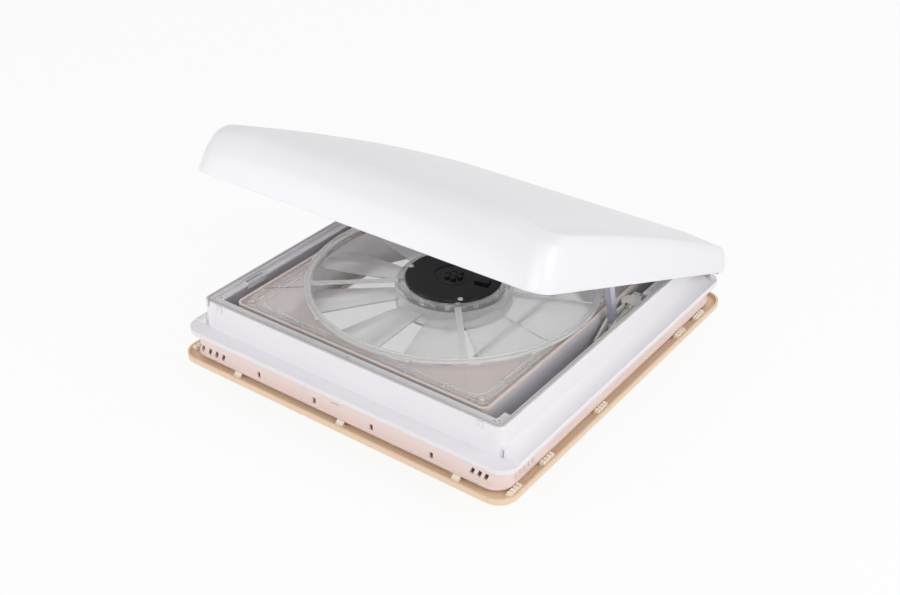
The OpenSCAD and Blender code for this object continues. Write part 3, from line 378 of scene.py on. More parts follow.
@dataclass(frozen=True)
class Moulding:
    """Opaque moulded plastic or rubber."""

    name: str
    colour: Colour
    roughness: float = 0.42
    coat: float = 0.0
    mottle: float = 0.03
    grain_scale: float = 1400.0
    grain_depth: float = 0.00003
    edge: float = 0.0006
    scuff: float = 0.06
    glow: float = 0.0
    glow_tint: Colour = (1.0, 0.95, 0.9)
    glow_depth: float = 2 * MM
    coat_roughness: float = 0.1

    def surface(self) -> tuple[bpy.types.Material, Tree, bpy.types.Node, bpy.types.Node]:
        """Lays the moulded surface on a Principled BSDF.

        Returns:
            The material, its tree, the Principled node and the surface group.
        """
        values = {
            "Colour": (*self.colour, 1),
            "Roughness": self.roughness,
            "Mottle": self.mottle,
            "Grain Scale": self.grain_scale,
            "Grain Depth": self.grain_depth,
            "Edge Radius": self.edge,
            "Edge Scuff": self.scuff,
        }
        return coated(self.name, "moulded", values)

    def build(self) -> bpy.types.Material:
        """Builds the finish.

        Returns:
            The finish as a material.
        """
        material, tree, surface, _ = self.surface()
        tree.feed(surface, "Coat Weight", self.coat)
        tree.feed(surface, "Coat Roughness", self.coat_roughness)
        if self.glow:
            surface.subsurface_method = "RANDOM_WALK"
            tree.feed(surface, "Subsurface Weight", self.glow)
            tree.feed(surface, "Subsurface Radius", self.glow_tint)
            tree.feed(surface, "Subsurface Scale", self.glow_depth)
        return material


@dataclass(frozen=True)
class Clear(Moulding):
    """Clear or frosted moulded plastic that shows what is behind it."""

    roughness: float = 0.06
    mottle: float = 0.02
    grain_scale: float = 500.0
    grain_depth: float = 0.00002
    scuff: float = 0.0
    clearness: float = 0.9
    ior: float = 1.4

    def build(self) -> bpy.types.Material:
        """Builds the finish.

        Returns:
            The finish as a material.
        """
        material, tree, surface, _ = self.surface()
        tree.feed(surface, "Transmission Weight", self.clearness)
        tree.feed(surface, "IOR", self.ior)
        # Light reaches what lies behind the plastic
        path = tree.add("ShaderNodeLightPath")
        light = tree.maths("MAXIMUM", path.outputs["Is Shadow Ray"], path.outputs["Is Diffuse Ray"])
        passed = tree.maths("MULTIPLY", light, self.clearness)
        tree.feed(surface, "Alpha", tree.maths("SUBTRACT", 1.0, passed))
        return material


@dataclass(frozen=True)
class TwoShot(Moulding):
    """Moulded plastic with another colour on the outside of a square ring's wall.

    The other colour is on what lies in the outermost skin of the node, below its rim.
    """

    outside: Colour = (0.7, 0.7, 0.72)
    node: str = ""
    skin: float = 1.2 * MM
    rim: float = 3 * MM

    def build(self) -> bpy.types.Material:
        """Builds the finish.

        Returns:
            The finish as a material.
        """
        material, tree, _, look = self.surface()
        extent = Extent.of(self.node)
        spot = tree.add("ShaderNodeTexCoord").outputs["Object"]
        from_mid = {0: spot, 1: extent.mid}
        away = tree.add("ShaderNodeVectorMath", from_mid, operation="SUBTRACT").outputs[0]
        size = tree.add("ShaderNodeVectorMath", {0: away}, operation="ABSOLUTE").outputs[0]
        parts = tree.add("ShaderNodeSeparateXYZ", {0: size})
        half = extent.size / 2
        past = [tree.maths("SUBTRACT", parts.outputs[i], half[i] - self.skin) for i in (0, 1)]
        up = tree.add("ShaderNodeSeparateXYZ", {0: spot}).outputs[2]
        low = tree.maths("LESS_THAN", up, extent.high.z - self.rim)
        edge = tree.maths("GREATER_THAN", tree.maths("MAXIMUM", *past), 0.0)
        mask = tree.maths("MULTIPLY", edge, low)
        tree.feed(look, "Colour", tree.mix(mask, (*self.colour, 1), (*self.outside, 1)))
        return material


@dataclass(frozen=True)
class Metal:
    """Plain or plated metal with fine drawing lines."""

    name: str
    colour: Colour
    roughness: float = 0.3
    stretch: Point = (1.0, 0.06, 0.06)
    metallic: float = 1.0

    def build(self) -> bpy.types.Material:
        """Builds the finish.

        Returns:
            The finish as a material.
        """
        values = {"Colour": (*self.colour, 1), "Roughness": self.roughness, "Stretch": self.stretch}
        material, tree, surface, _ = coated(self.name, "drawn", values)
        tree.feed(surface, "Metallic", self.metallic)
        return material


class Finish(Enum):
    """The finishes of the vent, named for what wears them."""

    LID = Moulding("LidWhite", (0.86, 0.85, 0.885), 0.34, coat=0.15, mottle=0.02, grain_scale=600)
    FRAME = Moulding("FrameWhite", (0.85, 0.83, 0.865), 0.4, coat=0.1)
    RAIL = Moulding("RailWhite", (0.80, 0.79, 0.82), 0.42)
    SEAL = Moulding("SealGrey", (0.55, 0.54, 0.48), 0.75, mottle=0.1, grain_depth=0.00008, scuff=0.0)
    CREAM_BOX = Moulding("GearboxCream", (0.88, 0.87, 0.81), 0.45)
    NYLON = Moulding("NaturalNylon", (0.82, 0.81, 0.74), 0.4, glow=0.2)
    COLLAR = TwoShot("CollarBeige", (0.90, 0.77, 0.71), 0.4, outside=(0.72, 0.71, 0.75), node="collar")
    PINK = Moulding("CeilingPink", (0.88, 0.735, 0.705), 0.42)
    TAN = Moulding("TrimTan", (0.85, 0.64, 0.46), 0.45)
    CLIP = Moulding("ClipCream", (0.93, 0.84, 0.70), 0.42)
    IVORY = Moulding("KnobIvory", (0.82, 0.79, 0.71), 0.38)
    DARK = Moulding("DarkPlastic", (0.035, 0.035, 0.04), 0.45, scuff=0.3)
    MOTOR = Moulding("MotorBlack", (0.015, 0.015, 0.017), 0.5, scuff=0.2)
    CAP = Moulding(
        "CapBlack", (0.003, 0.003, 0.004), 0.1, mottle=0.0, scuff=0.4, grain_depth=0.000004, edge=0.0012
    )
    CLEAR = Clear("ClearPlastic", (0.98, 0.975, 0.985), 0.06, clearness=0.93)
    GUARD = Clear("FrostedGuard", (0.975, 0.98, 0.965), 0.2, clearness=0.5)
    CUP = Clear("ClearCup", (0.985, 0.98, 0.985), 0.08, clearness=0.85)
    BLADE = Clear("BladeFrost", (0.99, 0.985, 0.99), 0.16, clearness=0.74)
    SHROUD = Moulding("ShroudTaupe", (0.76, 0.66, 0.63), 0.5)
    DUCT = Moulding("DuctWhite", (0.90, 0.88, 0.89), 0.4)
    PEG = Moulding("PalePeg", (0.80, 0.76, 0.74), 0.3)
    ARM = Metal("ArmSteel", (0.60, 0.61, 0.72), 0.42, (1.0, 1.0, 0.06), 0.7)
    ZINC = Metal("BrightZinc", (0.82, 0.80, 0.81), 0.18)
    PIN = Metal("DarkPin", (0.09, 0.09, 0.1), 0.4)
    TRACK = Metal("TrackAlloy", (0.74, 0.75, 0.77), 0.3)
    MESH = Moulding("MeshGrey", (0.66, 0.62, 0.64), 0.6, scuff=0.0, edge=0.0001)


class Paint:
    """Hands out each finish's material, built once."""

    _made: dict[Finish, bpy.types.Material] = {}

    @classmethod
    def of(cls, finish: Finish) -> bpy.types.Material:
        """Finds a finish's material, or builds it at first use.

        Args:
            finish: one of the vent's finishes.

        Returns:
            Its material.
        """
        if finish not in cls._made:
            cls._made[finish] = finish.value.build()
        return cls._made[finish]


# Mesh helpers


def as_object(name: str, mesh: bpy.types.Mesh, finish: Finish) -> bpy.types.Object:
    """Puts a mesh into the scene as an object with one finish.

    Args:
        name: the object's name.
        mesh: its mesh, in the frame's own place.
        finish: the finish it wears.

    Returns:
        The new object.
    """
    thing = bpy.data.objects.new(name, mesh)
    bpy.context.scene.collection.objects.link(thing)
    mesh.materials.clear()
    mesh.materials.append(Paint.of(finish))
    return thing


def closed_band(name: str, rows: list[list[Point]], finish: Finish) -> bpy.types.Object:
    """Skins a closed band whose section runs round through rows of points.

    Args:
        name: the piece's name.
        rows: the band's edges in order round its section, each closed on itself.
        finish: the finish it wears.

    Returns:
        The new piece.
    """
    made = bmesh.new()
    rings = [[made.verts.new(p) for p in row] for row in rows]
    for k, low in enumerate(rings):
        high = rings[(k + 1) % len(rings)]
        for i in range(len(low)):
            j = (i + 1) % len(low)
            made.faces.new((low[i], low[j], high[j], high[i]))
    bmesh.ops.recalc_face_normals(made, faces=made.faces)
    mesh = bpy.data.meshes.new(name)
    made.to_mesh(mesh)
    made.free()
    return as_object(name, mesh, finish)


def soften(thing: bpy.types.Object, width: float, segments: int = 2) -> None:
    """Rounds a piece's marked edges with a bevel that stays live.

    Args:
        thing: the piece, with weights on the edges to round.
        width: how far the rounding reaches from an edge.
        segments: how many faces go round it.
    """
    bevel = thing.modifiers.new("Rounded", "BEVEL")
    bevel.width = width
    bevel.segments = segments
    bevel.limit_method = "WEIGHT"


class Recipe:
    """A Geometry Nodes tree with named inputs, used on a mesh and then baked."""

    def __init__(self, name: str, sizes: dict[str, float | int]) -> None:
        """Starts the tree with its inputs.

        Args:
            name: the tree's name.
            sizes: its named inputs and their values.
        """
        self.group = bpy.data.node_groups.new(name, "GeometryNodeTree")
        self.group.interface.new_socket("Geometry", in_out="INPUT", socket_type="NodeSocketGeometry")
        self.group.interface.new_socket("Geometry", in_out="OUTPUT", socket_type="NodeSocketGeometry")
        self.sizes = sizes
        for key, value in sizes.items():
            kind = "NodeSocketInt" if isinstance(value, int) else "NodeSocketFloat"
            self.group.interface.new_socket(key, in_out="INPUT", socket_type=kind)
        self.tree = Tree(self.group)
        entry = self.tree.add("NodeGroupInput")
        self.ins = {s.name: s for s in entry.outputs if s.name}
        self.out = self.tree.add("NodeGroupOutput")

    def finish(self, geometry: bpy.types.NodeSocket, finish: Finish) -> None:
        """Realizes the geometry, sets its material and ends the tree.

        Args:
            geometry: the socket of the finished shape.
            finish: the finish it wears.
        """
        whole = self.tree.add("GeometryNodeRealizeInstances", {"Geometry": geometry}).outputs[0]
        dressed = self.tree.add("GeometryNodeSetMaterial", {"Geometry": whole})
        dressed.inputs["Material"].default_value = Paint.of(finish)
        self.tree.feed(self.out, "Geometry", dressed.outputs[0])

    def bake(
        self, name: str, mesh: bpy.types.Mesh, finish: Finish, **changed: float | int
    ) -> bpy.types.Object:
        """Runs the tree on a mesh and returns the result as a plain object.

        Args:
            name: the new piece's name.
            mesh: the mesh that the tree reads.
            finish: the finish of the result.
            changed: inputs that differ from the tree's own, with _ for a space.

        Returns:
            The new piece, with no modifier on it.
        """
        carrier = bpy.data.objects.new(name + "_carrier", mesh)
        bpy.context.scene.collection.objects.link(carrier)
        live = carrier.modifiers.new("Recipe", "NODES")
        live.node_group = self.group
        values = {**self.sizes, **{k.replace("_", " "): v for k, v in changed.items()}}
        for item in self.group.interface.items_tree:
            if item.in_out == "INPUT" and item.name in values:
                live[item.identifier] = values[item.name]
        bpy.context.view_layer.update()
        seen = carrier.evaluated_get(bpy.context.evaluated_depsgraph_get())
        plain = bpy.data.meshes.new_from_object(seen)
        plain.name = name
        bpy.data.objects.remove(carrier, do_unlink=True)
        return as_object(name, plain, finish)


def cloud(points: list[Point]) -> bpy.types.Mesh:
    """Makes a mesh of loose points.

    Args:
        points: their places.

    Returns:
        The mesh.
    """
    mesh = bpy.data.meshes.new("points")
    mesh.from_pydata(points, [], [])
    return mesh


def wear(names: str, finish: Finish) -> None:
    """Gives CAD nodes a finish.

    Args:
        names: the nodes' names, with spaces between them.
        finish: the finish they wear.
    """
    for name in names.split():
        node = frame["nodes"][name]
        node.data.materials.clear()
        node.data.materials.append(Paint.of(finish))
        log.info("%s wears %s", name, finish.name)


def place(thing: bpy.types.Object, body: str, slot: str, *stands_for: str) -> bpy.types.Object:
    """Lets a piece ride on a body and hides the CAD nodes that it stands for.

    Args:
        thing: the piece.
        body: the body it moves with.
        slot: its material slot; not used.
        stands_for: CAD nodes that it replaces, if any.

    Returns:
        The same piece.
    """
    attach(thing, body)
    if stands_for:
        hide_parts(*stands_for)
    log.info("built %s on %s", thing.name, body)
    return thing


# Sub-assemblies


@dataclass
class Screws:
    """Pan-head screws with a cross recess, as one recipe for every set.

    Waist and crown are the radii of the head's two tiers as shares of its radius, wall is the
    lower tier's share of the height, and arm and arm_length size the cross in the same way. Turn
    is the most that a head is turned, in radians.
    """

    head_radius: float = 3.4 * MM
    head_height: float = 1.8 * MM
    shank_radius: float = 1.6 * MM
    shank_length: float = 10 * MM
    recess: float = 0.9 * MM
    waist: float = 0.97
    crown: float = 0.62
    wall: float = 0.45
    arm: float = 0.36
    arm_length: float = 1.25
    head_sides: int = 28
    shank_sides: int = 20
    turn: float = 6.28
    seed: int = 7
    recipe: Recipe | None = field(default=None, repr=False)

    def build_recipe(self) -> Recipe:
        """Builds the tree: a rounded head, less a cross, with a shank below.

        Returns:
            The recipe, which reads a mesh of loose points.
        """
        made = Recipe(
            "CrossHeadScrews",
            {
                "Head Radius": self.head_radius,
                "Head Height": self.head_height,
                "Shank Radius": self.shank_radius,
                "Shank Length": self.shank_length,
                "Recess": self.recess,
                "Seed": self.seed,
            },
        )
        tree, ins = made.tree, made.ins
        tiers = []
        shapes = ((1.0, self.waist, self.wall, 1), (self.waist, self.crown, 1 - self.wall, 3))
        for foot, brow, tall, rows in shapes:
            sizes = {
                "Vertices": self.head_sides,
                "Side Segments": rows,
                "Fill Segments": 1,
                "Radius Top": tree.maths("MULTIPLY", ins["Head Radius"], brow),
                "Radius Bottom": tree.maths("MULTIPLY", ins["Head Radius"], foot),
                "Depth": tree.maths("MULTIPLY", ins["Head Height"], tall),
            }
            tiers.append(tree.add("GeometryNodeMeshCone", sizes).outputs[0])
        lift = tree.add("ShaderNodeCombineXYZ", {2: tree.maths("MULTIPLY", ins["Head Height"], self.wall)})
        there = {"Geometry": tiers[1], "Translation": lift.outputs[0]}
        raised = tree.add("GeometryNodeTransform", there)
        bars = []
        top = tree.add("ShaderNodeCombineXYZ", {2: ins["Head Height"]}).outputs[0]
        for wide, deep in ((self.arm, self.arm_length), (self.arm_length, self.arm)):
            size = tree.add(
                "ShaderNodeCombineXYZ",
                {
                    0: tree.maths("MULTIPLY", ins["Head Radius"], wide),
                    1: tree.maths("MULTIPLY", ins["Head Radius"], deep),
                    2: tree.maths("MULTIPLY", ins["Recess"], 2.0),
                },
            )
            bar = tree.add("GeometryNodeMeshCube", {"Size": size.outputs[0]}).outputs[0]
            raised_bar = tree.add("GeometryNodeTransform", {"Geometry": bar, "Translation": top})
            bars.append(raised_bar.outputs[0])
        cut = tree.add("GeometryNodeMeshBoolean", operation="DIFFERENCE", solver="EXACT")
        tree.feed(cut, 0, raised.outputs[0])
        for bar in bars:
            tree.tree.links.new(bar, cut.inputs[1])
        rod = {"Vertices": self.shank_sides, "Radius": ins["Shank Radius"], "Depth": ins["Shank Length"]}
        shank = tree.add("GeometryNodeMeshCylinder", rod)
        down = tree.add("ShaderNodeCombineXYZ", {2: tree.maths("MULTIPLY", ins["Shank Length"], -0.5)})
        there = {"Geometry": shank.outputs[0], "Translation": down.outputs[0]}
        sunk = tree.add("GeometryNodeTransform", there)
        whole = tree.add("GeometryNodeJoinGeometry")
        for part in (tiers[0], cut.outputs[0], sunk.outputs[0]):
            tree.tree.links.new(part, whole.inputs[0])
        turn = tree.add("FunctionNodeRandomValue", {"Seed": ins["Seed"]}, data_type="FLOAT")
        # Input 3 is the largest value of a random number
        turn.inputs[3].default_value = self.turn
        spin = tree.add("ShaderNodeCombineXYZ", {2: turn.outputs[1]})
        spread = tree.add(
            "GeometryNodeInstanceOnPoints",
            {"Points": made.ins["Geometry"], "Instance": whole.outputs[0], "Rotation": spin.outputs[0]},
        )
        made.finish(spread.outputs[0], Finish.ZINC)
        return made

    def put(self, name: str, points: list[Point], node: str, finish: Finish, **sizes: float) -> None:
        """Puts screws in place of a CAD node, standing in the base.

        Args:
            name: the new piece's name.
            points: where the undersides of the heads sit.
            node: the CAD node that the screws stand for.
            finish: the screws' finish.
            sizes: inputs of the recipe that differ, with _ for a space.
        """
        if self.recipe is None:
            self.recipe = self.build_recipe()
        place(self.recipe.bake(name, cloud(points), finish, **sizes), "base", "bright_steel", node)


@dataclass
class RoofLid:
    """The white lid: skirt, shoulder and crown in one smooth skin, open at rest.

    The skin is laid out on the closed lid. The ladder's rungs run up the walls, each a share of
    the lean, a further inset and a share of the height. The insets run on over the crown.
    """

    reach: float = 0.471
    back: float = 0.008
    skin: float = 0.003
    crown: float = 0.066
    crown_fall: float = 0.0074
    shoulder: float = 0.0575
    shoulder_fall: float = 0.0062
    crown_u: float = 0.520
    span: float = 0.253
    front_r: float = 0.024
    rear_r: float = 0.007
    front_shrink: float = 0.3
    rear_shrink: float = 0.1
    least_r: tuple[float, float] = (0.004, 0.003)
    crown_margin: float = 0.018
    crown_blend: float = 0.052
    wall_rungs: int = 4
    inner_steps: int = 3
    under_wall: float = 0.8
    under_edge: float = 1.05
    inner_edge: tuple[tuple[float, float], ...] = ((0.016, 0), (0.008, 0.0003))
    lip_round: float = 0.8 * MM
    leans: tuple[float, float, float] = (0.009, 0.018, 0.005)
    ladder: tuple[tuple[float, float, float], ...] = (
        (0, 0, 0), (0.2, 0, 0.45), (0.6, 0, 0.8), (1, 0, 0.93), (1.25, 0, 0.98), (1, 0.006, 1), (1, 0.016, 1)
    )
    insets: tuple[float, ...] = (
        0.023, 0.03, 0.037, 0.044, 0.051, 0.058, 0.066, 0.076, 0.09, 0.105, 0.125, 0.15, 0.175, 0.2
    )
    half: float = field(default_factory=lambda: Extent.of("lid_shell").high.x)
    hinge: tuple[float, float] = field(default_factory=lambda: tuple(joint_of("lid_hinge")["pos_m"][1:]))
    open_deg: float = field(default_factory=lambda: -joint_of("lid_hinge")["range_deg"][0])

    def height(self, x: float, u: float) -> float:
        """Finds the height of the finished skin above the rim.

        Args:
            x: place across the lid.
            u: distance from the hinge axis toward the front.

        Returns:
            The height.
        """
        bend = ((u - self.crown_u) / self.span) ** 2
        low, high = self.shoulder - self.shoulder_fall * bend, self.crown - self.crown_fall * bend
        t = min(max((self.half - self.crown_margin - abs(x)) / self.crown_blend, 0), 1)
        return low + (high - low) * t * t * (3 - 2 * t)

    def outline(self, q: float, add: float) -> list[Vector]:
        """Outline of the lid, anticlockwise.

        Args:
            q: share of the walls' lean.
            add: further inset.

        Returns:
            Points at z = 0, as many for any q and add.
        """
        side, front, rear = self.leans
        x = self.half - q * side - add
        y0 = self.hinge[0] - self.reach + q * front + add
        y1 = self.hinge[0] + self.back - q * rear - add
        rf = max(self.front_r - self.front_shrink * add, self.least_r[0])
        rr = max(self.rear_r - self.rear_shrink * add, self.least_r[1])
        corners = (
            ((x - rr, y1 - rr), rr, 0), ((-x + rr, y1 - rr), rr, 90),
            ((-x + rf, y0 + rf), rf, 180), ((x - rf, y0 + rf), rf, 270),
        )
        turns, sides = 14, (34, 36, 34, 36)
        arcs = []
        for (cx, cy), r, first in corners:
            angles = [math.radians(first + 90 * i / turns) for i in range(turns + 1)]
            arcs.append([Vector((cx + r * math.cos(a), cy + r * math.sin(a), 0)) for a in angles])
        points: list[Vector] = []
        for k, arc in enumerate(arcs):
            after = arcs[(k + 1) % 4][0]
            points += arc
            points += [arc[-1].lerp(after, i / sides[k]) for i in range(1, sides[k])]
        return points

    def ring(self, q: float, add: float, share: float, down: float) -> list[Vector]:
        """Lays one ring of the skin on the closed lid.

        Args:
            q: share of the walls' lean.
            add: further inset.
            share: share of the skin's height.
            down: how far below the outer skin it lies.

        Returns:
            The ring's points.
        """
        return [
            Vector((p.x, p.y, self.hinge[1] + share * self.height(p.x, self.hinge[0] - p.y) - down))
            for p in self.outline(q, add)
        ]

    def opened(self, point: Vector) -> Vector:
        """Moves a point of the closed lid to its rest place."""
        about = Vector((0, self.hinge[0], self.hinge[1]))
        return about + Matrix.Rotation(math.radians(-self.open_deg), 3, "X") @ (point - about)

    @staticmethod
    def smooth_rungs(rungs: list[list[Vector]], steps: int = 4) -> list[list[Vector]]:
        """Runs a smooth curve through each column of a ladder of rings.

        Args:
            rungs: rings with the same number of points.
            steps: rings made for each gap.

        Returns:
            The finer ladder, with the given rings in it.
        """
        finer = []
        # Hermite curves, with slopes scaled to the unequal gaps between rungs
        for k in range(len(rungs) - 1):
            before, here, there, after = (rungs[min(max(k + i, 0), len(rungs) - 1)] for i in (-1, 0, 1, 2))
            for s in range(steps):
                t = s / steps
                h = (2 * t**3 - 3 * t**2 + 1, t**3 - 2 * t**2 + t, -2 * t**3 + 3 * t**2, t**3 - t**2)
                row = []
                for a, b, c, d in zip(before, here, there, after):
                    gap = (c - b).length
                    m0 = (c - a) * (gap / max(gap + (b - a).length, 1e-9))
                    m1 = (d - b) * (gap / max((d - c).length + gap, 1e-9))
                    row.append(b * h[0] + m0 * h[1] + c * h[2] + m1 * h[3])
                finer.append(row)
        return [*finer, rungs[-1]]

    def inner_rings(self) -> list[list[Vector]]:
        """Lays the inside of the skin.

        Returns:
            Its rings, from the middle of the lid down to the lip.
        """
        t = self.skin
        low = []
        for q, _, share in reversed(self.ladder[: self.wall_rungs]):
            sink = share * self.under_wall if share < 1 else self.under_edge
            low.append(self.ring(q, t, share, t * sink))
        edge = [self.ring(1, inset, 1, t + sink) for inset, sink in self.inner_edge] + low
        flat = [self.ring(1, e, 1, t) for e in reversed(self.insets)]
        return flat + self.smooth_rungs(edge, self.inner_steps)

    def build_shell(self) -> bpy.types.Object:
        """Builds the lid's skin, outside and inside, as one closed shell.

        Returns:
            The new piece, in place of the CAD's shell.
        """
        outer = self.smooth_rungs([self.ring(q, add, share, 0) for q, add, share in self.ladder])
        outer += [self.ring(1, e, 1, 0) for e in self.insets]
        flat = self.outline(1, self.insets[-1])
        mid_y = sum(p.y for p in flat) / len(flat)
        top = Vector((0, mid_y, self.hinge[1] + self.height(0, self.hinge[0] - mid_y)))
        made = bmesh.new()
        rows = outer + self.inner_rings()
        rings = [[made.verts.new(self.opened(p)) for p in row] for row in rows]
        n, last = len(rings[0]), len(outer) - 1
        for k, low in enumerate(rings):
            high = rings[(k + 1) % len(rings)]
            for i in range(n if k != last else 0):
                made.faces.new((low[i], low[(i + 1) % n], high[(i + 1) % n], high[i]))
        for centre, ring in ((top, rings[last]), (top - Vector((0, 0, self.skin)), rings[last + 1])):
            hub = made.verts.new(self.opened(centre))
            for i in range(n):
                made.faces.new((hub, ring[i], ring[(i + 1) % n]))
        bmesh.ops.recalc_face_normals(made, faces=made.faces)
        rounded = made.edges.layers.float.new("bevel_weight_edge")
        for ring in (rings[0], rings[-1]):
            for i in range(n):
                made.edges.get((ring[i], ring[(i + 1) % n]))[rounded] = 1.0
        mesh = bpy.data.meshes.new("lid_skin")
        made.to_mesh(mesh)
        made.free()
        mesh.shade_smooth()
        shell = as_object("lid_skin", mesh, Finish.LID)
        soften(shell, self.lip_round, 3)
        return place(shell, "lid", "lid_white", "lid_shell")

    def dress(self) -> None:
        """Builds the skin and gives the lid's CAD nodes their finish."""
        self.build_shell()
        wear("lid_rib lid_hinge_lugs", Finish.LID)
        wear("lid_track", Finish.TRACK)


@dataclass
class OuterFrame:
    """Flange, upstand, seal, inner rail and hinges."""

    def dress(self) -> None:
        """Gives the frame's CAD nodes their finish."""
        wear("outer_frame frame_catch hinge_bases", Finish.FRAME)
        wear("inner_rail", Finish.RAIL)
        wear("rim_seal", Finish.SEAL)
        wear("hinge_pins", Finish.PIN)


@dataclass
class Lifter:
    """Worm gearbox, sector, arm and crank."""

    screw_r: float = 2.6 * MM
    screw_h: float = 1.4 * MM
    shank_r: float = 1.3 * MM
    recess: float = 0.7 * MM

    def dress(self, screws: Screws) -> None:
        """Gives the lifter its finishes and screws.

        Args:
            screws: the recipe for screws.
        """
        wear("gearbox_housing gearbox_cover", Finish.CREAM_BOX)
        wear("lift_arm", Finish.ARM)
        wear("sector_gear worm_shaft arm_roller", Finish.NYLON)
        wear("arm_pin roller_pin", Finish.ZINC)
        wear("crank_handle", Finish.TAN)
        wear("crank_knob", Finish.DARK)
        old = Extent.of("gearbox_screws")
        points = [
            (x, old.mid.y, old.high.z - self.screw_h)
            for x in (old.low.x + self.screw_r, old.high.x - self.screw_r)
        ]
        screws.put(
            "cover_screws", points, "gearbox_screws", Finish.ZINC,
            Head_Radius=self.screw_r, Head_Height=self.screw_h, Shank_Radius=self.shank_r,
            Shank_Length=old.size.z - self.screw_h, Recess=self.recess,
        )


@dataclass
class Fan:
    """Clear carrier, guard ring, blades and motor.

    The rails are insets from the collar's outside, and stars_at are the places of the crossing
    ribs along each side. Both keep clear of the duct by their gap.
    """

    corner_r: float = 3.4 * MM
    corner_h: float = 1.8 * MM
    cap_r: float = 3.4 * MM
    cap_h: float = 1.6 * MM
    cap_bolt: float = 56.5 * MM
    cap_angles: tuple[float, float, float] = (-46, 74, 194)
    duct_r: float = 174.3 * MM
    duct_t: float = 1.5 * MM
    inset: float = 3.3 * MM
    shroud_drop: float = 2.5 * MM
    duct_foot: float = 1 * MM
    rails: tuple[float, float] = (11 * MM, 19 * MM)
    rail_gap: float = 0.4 * MM
    rib_t: float = 0.9 * MM
    rib_h: float = 2.2 * MM
    rib_length: float = 15 * MM
    rib_turns: tuple[float, ...] = (15.0, 75.0, 135.0)
    stars_at: tuple[float, ...] = (-0.141, -0.099, -0.018, 0.065, 0.118)
    star_gap: float = 8.5 * MM
    row_points: int = 144
    squareness: int = 24

    def turns(self) -> list[float]:
        """Returns the angles of a row's points, in radians."""
        return [math.radians(i * 360 / self.row_points) for i in range(self.row_points)]

    def round_row(self, radius: float, z: float) -> list[Point]:
        """Lays points on a circle round the fan's axis.

        Args:
            radius: the circle's radius.
            z: its height.

        Returns:
            The points, as many as in a square row.
        """
        mid = Extent.of("impeller").mid
        turns = self.turns()
        return [(mid.x + radius * math.cos(a), mid.y + radius * math.sin(a), z) for a in turns]

    def square_row(self, inset: float, z: float) -> list[Point]:
        """Lays points on a rounded square, set in from the collar's outside.

        Args:
            inset: how far in they lie.
            z: their height.

        Returns:
            The points, as many as in a round row.
        """
        collar = Extent.of("collar")
        wide, deep = collar.size.x / 2 - inset, collar.size.y / 2 - inset
        row, power = [], self.squareness
        for turn in self.turns():
            c, s = math.cos(turn), math.sin(turn)
            reach = ((abs(c) / wide) ** power + (abs(s) / deep) ** power) ** (-1 / power)
            row.append((collar.mid.x + reach * c, collar.mid.y + reach * s, z))
        return row

    def build_shroud(self) -> None:
        """Builds the flat shroud under the clear carrier and the round duct below it."""
        foot = Extent.of("screen_frame").high.z + self.duct_foot
        bore, rim, edge = self.duct_r, self.duct_r + self.duct_t, self.inset
        top = Extent.of("fan_carrier").low.z - self.shroud_drop
        low = top - self.duct_t
        rows = [self.round_row(rim, low), self.square_row(edge, low)]
        rows += [self.square_row(edge, top), self.round_row(rim, top)]
        place(closed_band("fan_shroud", rows, Finish.SHROUD), "base", "collar_beige")
        rows = [self.round_row(bore, foot), self.round_row(rim, foot)]
        rows += [self.round_row(rim, top), self.round_row(bore, top)]
        duct = closed_band("fan_duct", rows, Finish.DUCT)
        duct.data.shade_smooth()
        place(duct, "base", "collar_beige")

    def brace_recipe(self) -> Recipe:
        """Builds the tree of the stars of crossing ribs.

        Returns:
            The recipe, which reads a mesh of loose points.
        """
        made = Recipe("CarrierBraces", {"Length": self.rib_length, "Width": self.rib_t, "Height": self.rib_h})
        tree, ins = made.tree, made.ins
        sizes = {0: ins["Length"], 1: ins["Width"], 2: ins["Height"]}
        size = tree.add("ShaderNodeCombineXYZ", sizes).outputs[0]
        bar = tree.add("GeometryNodeMeshCube", {"Size": size}).outputs[0]
        star = tree.add("GeometryNodeJoinGeometry")
        for turn in self.rib_turns:
            way = {"Geometry": bar, "Rotation": (0.0, 0.0, math.radians(turn))}
            tree.tree.links.new(tree.add("GeometryNodeTransform", way).outputs[0], star.inputs[0])
        ways = {"Points": ins["Geometry"], "Instance": star.outputs[0]}
        made.finish(tree.add("GeometryNodeInstanceOnPoints", ways).outputs[0], Finish.GUARD)
        return made

    def past_duct(self, row: list[Point], gap: float) -> list[Point]:
        """Moves points that come too near to the duct straight out.

        Args:
            row: the points.
            gap: the least distance from the duct's outside.

        Returns:
            The points, moved where they have to be.
        """
        axis, rim = Extent.of("impeller").mid, self.duct_r + self.duct_t
        moved = []
        for x, y, z in row:
            out = max(1.0, (rim + gap) / math.hypot(x - axis.x, y - axis.y))
            moved.append((axis.x + (x - axis.x) * out, axis.y + (y - axis.y) * out, z))
        return moved

    def star_points(self, z: float) -> list[Point]:
        """Lays the stars out between the rails, clear of the duct.

        Args:
            z: their height.

        Returns:
            The stars' middles.
        """
        collar, axis = Extent.of("collar"), Extent.of("impeller").mid
        between = sum(self.rails) / 2
        ends = (collar.low.y + between, collar.high.y - between)
        sides = (collar.low.x + between, collar.high.x - between)
        stars = [(along, end, z) for along in self.stars_at for end in ends]
        stars += [(side, along, z) for along in self.stars_at for side in sides]
        least = self.duct_r + self.duct_t + self.star_gap
        return [p for p in stars if math.hypot(p[0] - axis.x, p[1] - axis.y) > least]

